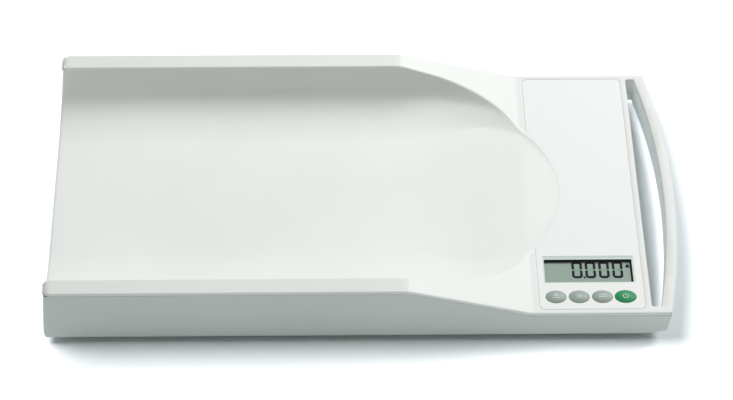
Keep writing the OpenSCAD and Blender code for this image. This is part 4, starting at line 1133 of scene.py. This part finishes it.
dress(board_green, "main_board")
dress(black_plastic, "board_chips", "switch_bodies")
dress(ivory, "board_sockets")
dress(contact_rubber, "contact_strips")
dress(plunger_plastic, *["switch_plunger_" + n for n in key_names])
corners = ["front_open", "back_open", "front_head", "back_head"]
for corner in corners:
    stand_in("load_cell_" + corner, "spring_plate_" + corner, milled)
    stand_in("cell_clamp_" + corner, "clamp_" + corner, clamp_plastic)
    stand_in("cell_lead_" + corner, "lead_" + corner, lead_sleeve, angle=60)
stand_in("battery_lead", "lead_battery", lead_sleeve, angle=60)
stand_in("battery_bay", "bay", bay_plastic)
stand_in("battery_contacts", "contact_plates", nickel)
# the door's darker tone is painted shade
stand_in("battery_door", "door_panel", base_plastic, body="door", angle=25)
print("finishes in use:", len(bpy.data.materials))

# %% Screws
def turned(name, profile, finish, spot=(0, 0, 0), n=40, axis="z"):
    """A closed turned piece from (radius, height) pairs, first and last near the axis."""
    points, faces = [], []
    for r, h in profile:
        for k in range(n):
            t = 2 * math.pi * k / n
            q = (r * math.cos(t), r * math.sin(t), h)
            if axis == "y":
                q = (q[0], q[2], -q[1])
            points.append(tuple(c + d for c, d in zip(q, spot)))
    m = len(profile) - 1
    for i in range(m):
        faces += [(i * n + k, i * n + (k + 1) % n, (i + 1) * n + (k + 1) % n, (i + 1) * n + k)
                  for k in range(n)]
    faces += [tuple(range(n))[::-1], tuple(m * n + k for k in range(n))]
    return new_piece(name, points, faces, finish, 30)


head_h, shank_r, pitch_z, thread = 2, 1.45, 0.9, 0.28
cross_long, cross_wide, cross_deep = 1.5, 0.45, 0.9


def cross_screw(head_d, length):
    """Pan head screw, its head's underside at z = 0 and its head below it."""
    r, turns = head_d / 2, int(length / pitch_z)
    profile = [(0.05, -head_h), (r * 0.55, -head_h), (r * 0.85, -head_h * 0.86),
               (r - 0.02, -head_h * 0.5), (r, 0), (shank_r, 0)]
    for k in range(turns):
        z = 0.5 + k * (length - 1.2) / turns
        profile += [(shank_r - thread, z), (shank_r, z + 0.3), (shank_r, z + 0.42),
                    (shank_r - thread, z + 0.7)]
    profile += [(shank_r - 0.3, length - 0.5), (0.05, length)]
    piece = turned("one_screw", profile, zinc, n=24)
    tools = []
    for a, b in ((cross_long, cross_wide), (cross_wide, cross_long)):
        cube = bpy.data.meshes.new("recess")
        cube.from_pydata([(x * mm, y * mm, z * mm) for z in (-head_h - 0.2, -head_h + cross_deep)
                          for y in (-b, b) for x in (-a, a)], [],
                         [(0, 2, 3, 1), (4, 5, 7, 6), (0, 1, 5, 4), (2, 6, 7, 3), (0, 4, 6, 2),
                          (1, 3, 7, 5)])
        tools.append(placed("recess", cube))
        cut = piece.modifiers.new("cut", "BOOLEAN")
        cut.operation, cut.solver, cut.object = "DIFFERENCE", "EXACT", tools[-1]
    finished(piece)
    for tool in tools:
        bpy.data.objects.remove(tool)
    return piece


for kind in ("housing", "clamp", "board"):
    found = parts_of(kind + "_screws")
    lo, hi = found[0][:2]
    head = max(f[1][0] - f[0][0] for f in found)
    length = hi[2] - lo[2] - head_h
    one = cross_screw(head, length)
    up = kind == "housing"                       # the others stand on their heads
    if not up:
        for v in one.data.vertices:
            v.co.z, v.co.y = -v.co.z, -v.co.y
    spots = [((a[0] + b[0]) / 2, (a[1] + b[1]) / 2, a[2] + head_h if up else b[2] - head_h)
             for a, b, _ in found]
    screws = repeated(kind + "_screw_set", spots, one, zinc)
    bpy.data.objects.remove(one)
    takes_place(screws, kind + "_screws")
    print(screws.name, len(spots), "screws, head", round(head, 2), "mm, length", round(length, 1))

# %% [markdown]
# ## Feet
# Each foot is a rubber pad in a plastic cup, on a post that rests on the spring
# plate of its load cell. The pad is a turned profile with shallow rings against
# slipping. The cup is the CAD model's own, shaded smoothly.

# %% Feet
groove, slope = 0.35, 0.3                        # depth of the grooves, width of their sides
for corner in corners:
    lo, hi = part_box("foot_pad_" + corner)
    cx, cy = (lo.x + hi.x) * 500, (lo.y + hi.y) * 500
    r, h = (hi.x - lo.x) * 500, (hi.z - lo.z) * 1000
    profile = [(0.05, groove), (3, groove), (3.4, 0.0), (5.2, 0.0), (5.6, groove)]
    for ring in (8.4, 11.2, 14.0):
        profile += [(ring - 0.8 - slope, groove), (ring - 0.8, 0.0), (ring + 0.8, 0.0),
                    (ring + 0.8 + slope, groove)]
    profile += [(r - 1.7, groove), (r - 1.4, 0.0), (r - 0.5, 0.0), (r - 0.15, 0.15), (r, 0.5),
                (r, h), (0.05, h)]
    pad = turned("pad_" + corner, profile, rubber, (cx, cy, lo.z * 1000), n=72)
    takes_place(pad, "foot_pad_" + corner)
    stand_in("foot_cup_" + corner, "cup_" + corner, cup_plastic)
print("pads: radius", round(r, 1), "mm, height", round(h, 2), "mm")

# %% [markdown]
# ## Cells and their springs
# The six cells are turned profiles with rounded shoulders, a pale nub and a
# sleeve with a coloured band. Each spring is a cone of wire: Geometry Nodes
# sweep a small circle along a spiral, whose turns, radii and height are inputs.

# %% Cells
sleeve_dark = moulded("cell_sleeve", (0.03, 0.035, 0.045), 0.3, grain=1200, depth=0.000004,
                      spread=0.05, coat=0.4)
sleeve_band = moulded("cell_band", (0.10, 0.30, 0.17), 0.3, grain=1200, depth=0.000004,
                      spread=0.04, coat=0.4)
band_start = 36
for i in range(1, 7):
    node = "battery_%d" % i
    lo, hi, points = parts_of(node)[0]
    cx, cz, r = (lo[0] + hi[0]) / 2, (lo[2] + hi[2]) / 2, (hi[0] - lo[0]) / 2
    ends = []                                    # radius at either end; the nub is the smaller
    for y in (lo[1], hi[1]):
        near = points[abs(points[:, 1] - y) < 0.01]
        ends.append(np.hypot(near[:, 0] - cx, near[:, 2] - cz).max())
    plus = 1 if ends[1] < ends[0] else -1
    start, span = lo[1] if plus > 0 else hi[1], hi[1] - lo[1]
    body = [(0.05, 0), (r - 1.6, 0), (r - 1.5, 0.25), (r - 0.5, 0.3), (r, 0.9), (r, 12),
            (r, 12.01), (r, span - 2.2), (r - 0.4, span - 1.5), (r - 1.8, span - 1.2),
            (r - 2, span - 1.05), (2.75, span - 1.0), (2.7, span - 0.35), (2.35, span - 0.02),
            (0.05, span)]
    cell = turned("cell_%d" % i, body, sleeve_dark, n=48, axis="y")
    for v in cell.data.vertices:
        y = v.co.y * 1000
        v.co = Vector((v.co.x * plus + cx * mm, (start + plus * y) * mm, v.co.z + cz * mm))
    cell.data.materials.append(sleeve_band)
    cell.data.materials.append(nickel)
    for f in cell.data.polygons:
        out = abs(f.center.y * 1000 - start)
        wide = math.hypot(f.center.x * 1000 - cx, f.center.z * 1000 - cz)
        bare = wide < r - 1.45 or out > span - 1.02
        f.material_index = 2 if bare else int(band_start < out < span - 1.5)
    takes_place(cell, node)
print("cells:", round(2 * r, 1), "x", round(span, 1), "mm")

# %% Springs
spring_tree, spring_ids, given, out = open_tree(
    "cone_spring", Base="Geometry", Turns="Float", Foot_radius="Float", Tip_radius="Float",
    Height="Float", Wire="Float", Finish="Material")
spiral = spring_tree.nodes.new("GeometryNodeCurveSpiral")
section = spring_tree.nodes.new("GeometryNodeCurvePrimitiveCircle")
swept = spring_tree.nodes.new("GeometryNodeCurveToMesh")
set_inputs(spiral, Resolution=36)
set_inputs(section, Resolution=10)
set_inputs(swept, Fill_Caps=True)
for start, end in ((given.outputs["Turns"], spiral.inputs["Rotations"]),
                   (given.outputs["Foot radius"], spiral.inputs["Start Radius"]),
                   (given.outputs["Tip radius"], spiral.inputs["End Radius"]),
                   (given.outputs["Height"], spiral.inputs["Height"]),
                   (given.outputs["Wire"], section.inputs["Radius"]),
                   (spiral.outputs[0], swept.inputs["Curve"]),
                   (section.outputs[0], swept.inputs["Profile Curve"])):
    spring_tree.links.new(start, end)
close_tree(spring_tree, given, out, swept.outputs[0])

wire, coil_end = 0.3, 0.8
coil_points, coil_faces = [], []
for lo, hi, points in parts_of("battery_springs"):
    cx, cz = (lo[0] + hi[0]) / 2, (lo[2] + hi[2]) / 2
    near = [np.hypot(q[:, 0] - cx, q[:, 2] - cz).max() for q in
            (points[points[:, 1] < lo[1] + coil_end], points[points[:, 1] > hi[1] - coil_end])]
    host = built(placed("one_spring", bpy.data.meshes.new("one_spring")), spring_tree, spring_ids,
                 Turns=3.75, Foot_radius=(max(near) - wire) * mm,
                 Tip_radius=(min(near) - wire) * mm,
                 Height=(hi[1] - lo[1] - 2 * wire) * mm, Wire=wire * mm, Finish=nickel)
    start = len(coil_points)
    for v in host.data.vertices:
        x, y, z = (c * 1000 for c in v.co)
        if near[0] > near[1]:                    # the broad foot stands at the lower end
            coil_points.append((cx + x, lo[1] + wire + z, cz - y))
        else:
            coil_points.append((cx - x, hi[1] - wire - z, cz - y))
    coil_faces += [tuple(start + k for k in f.vertices) for f in host.data.polygons]
    bpy.data.objects.remove(host)
coils = new_piece("spring_set", coil_points, coil_faces, nickel, 60)
shape = bmesh.new()
shape.from_mesh(coils.data)
bmesh.ops.recalc_face_normals(shape, faces=shape.faces)
shape.to_mesh(coils.data)
shape.free()
takes_place(coils, "battery_springs")
print("springs:", len(coil_faces), "faces")
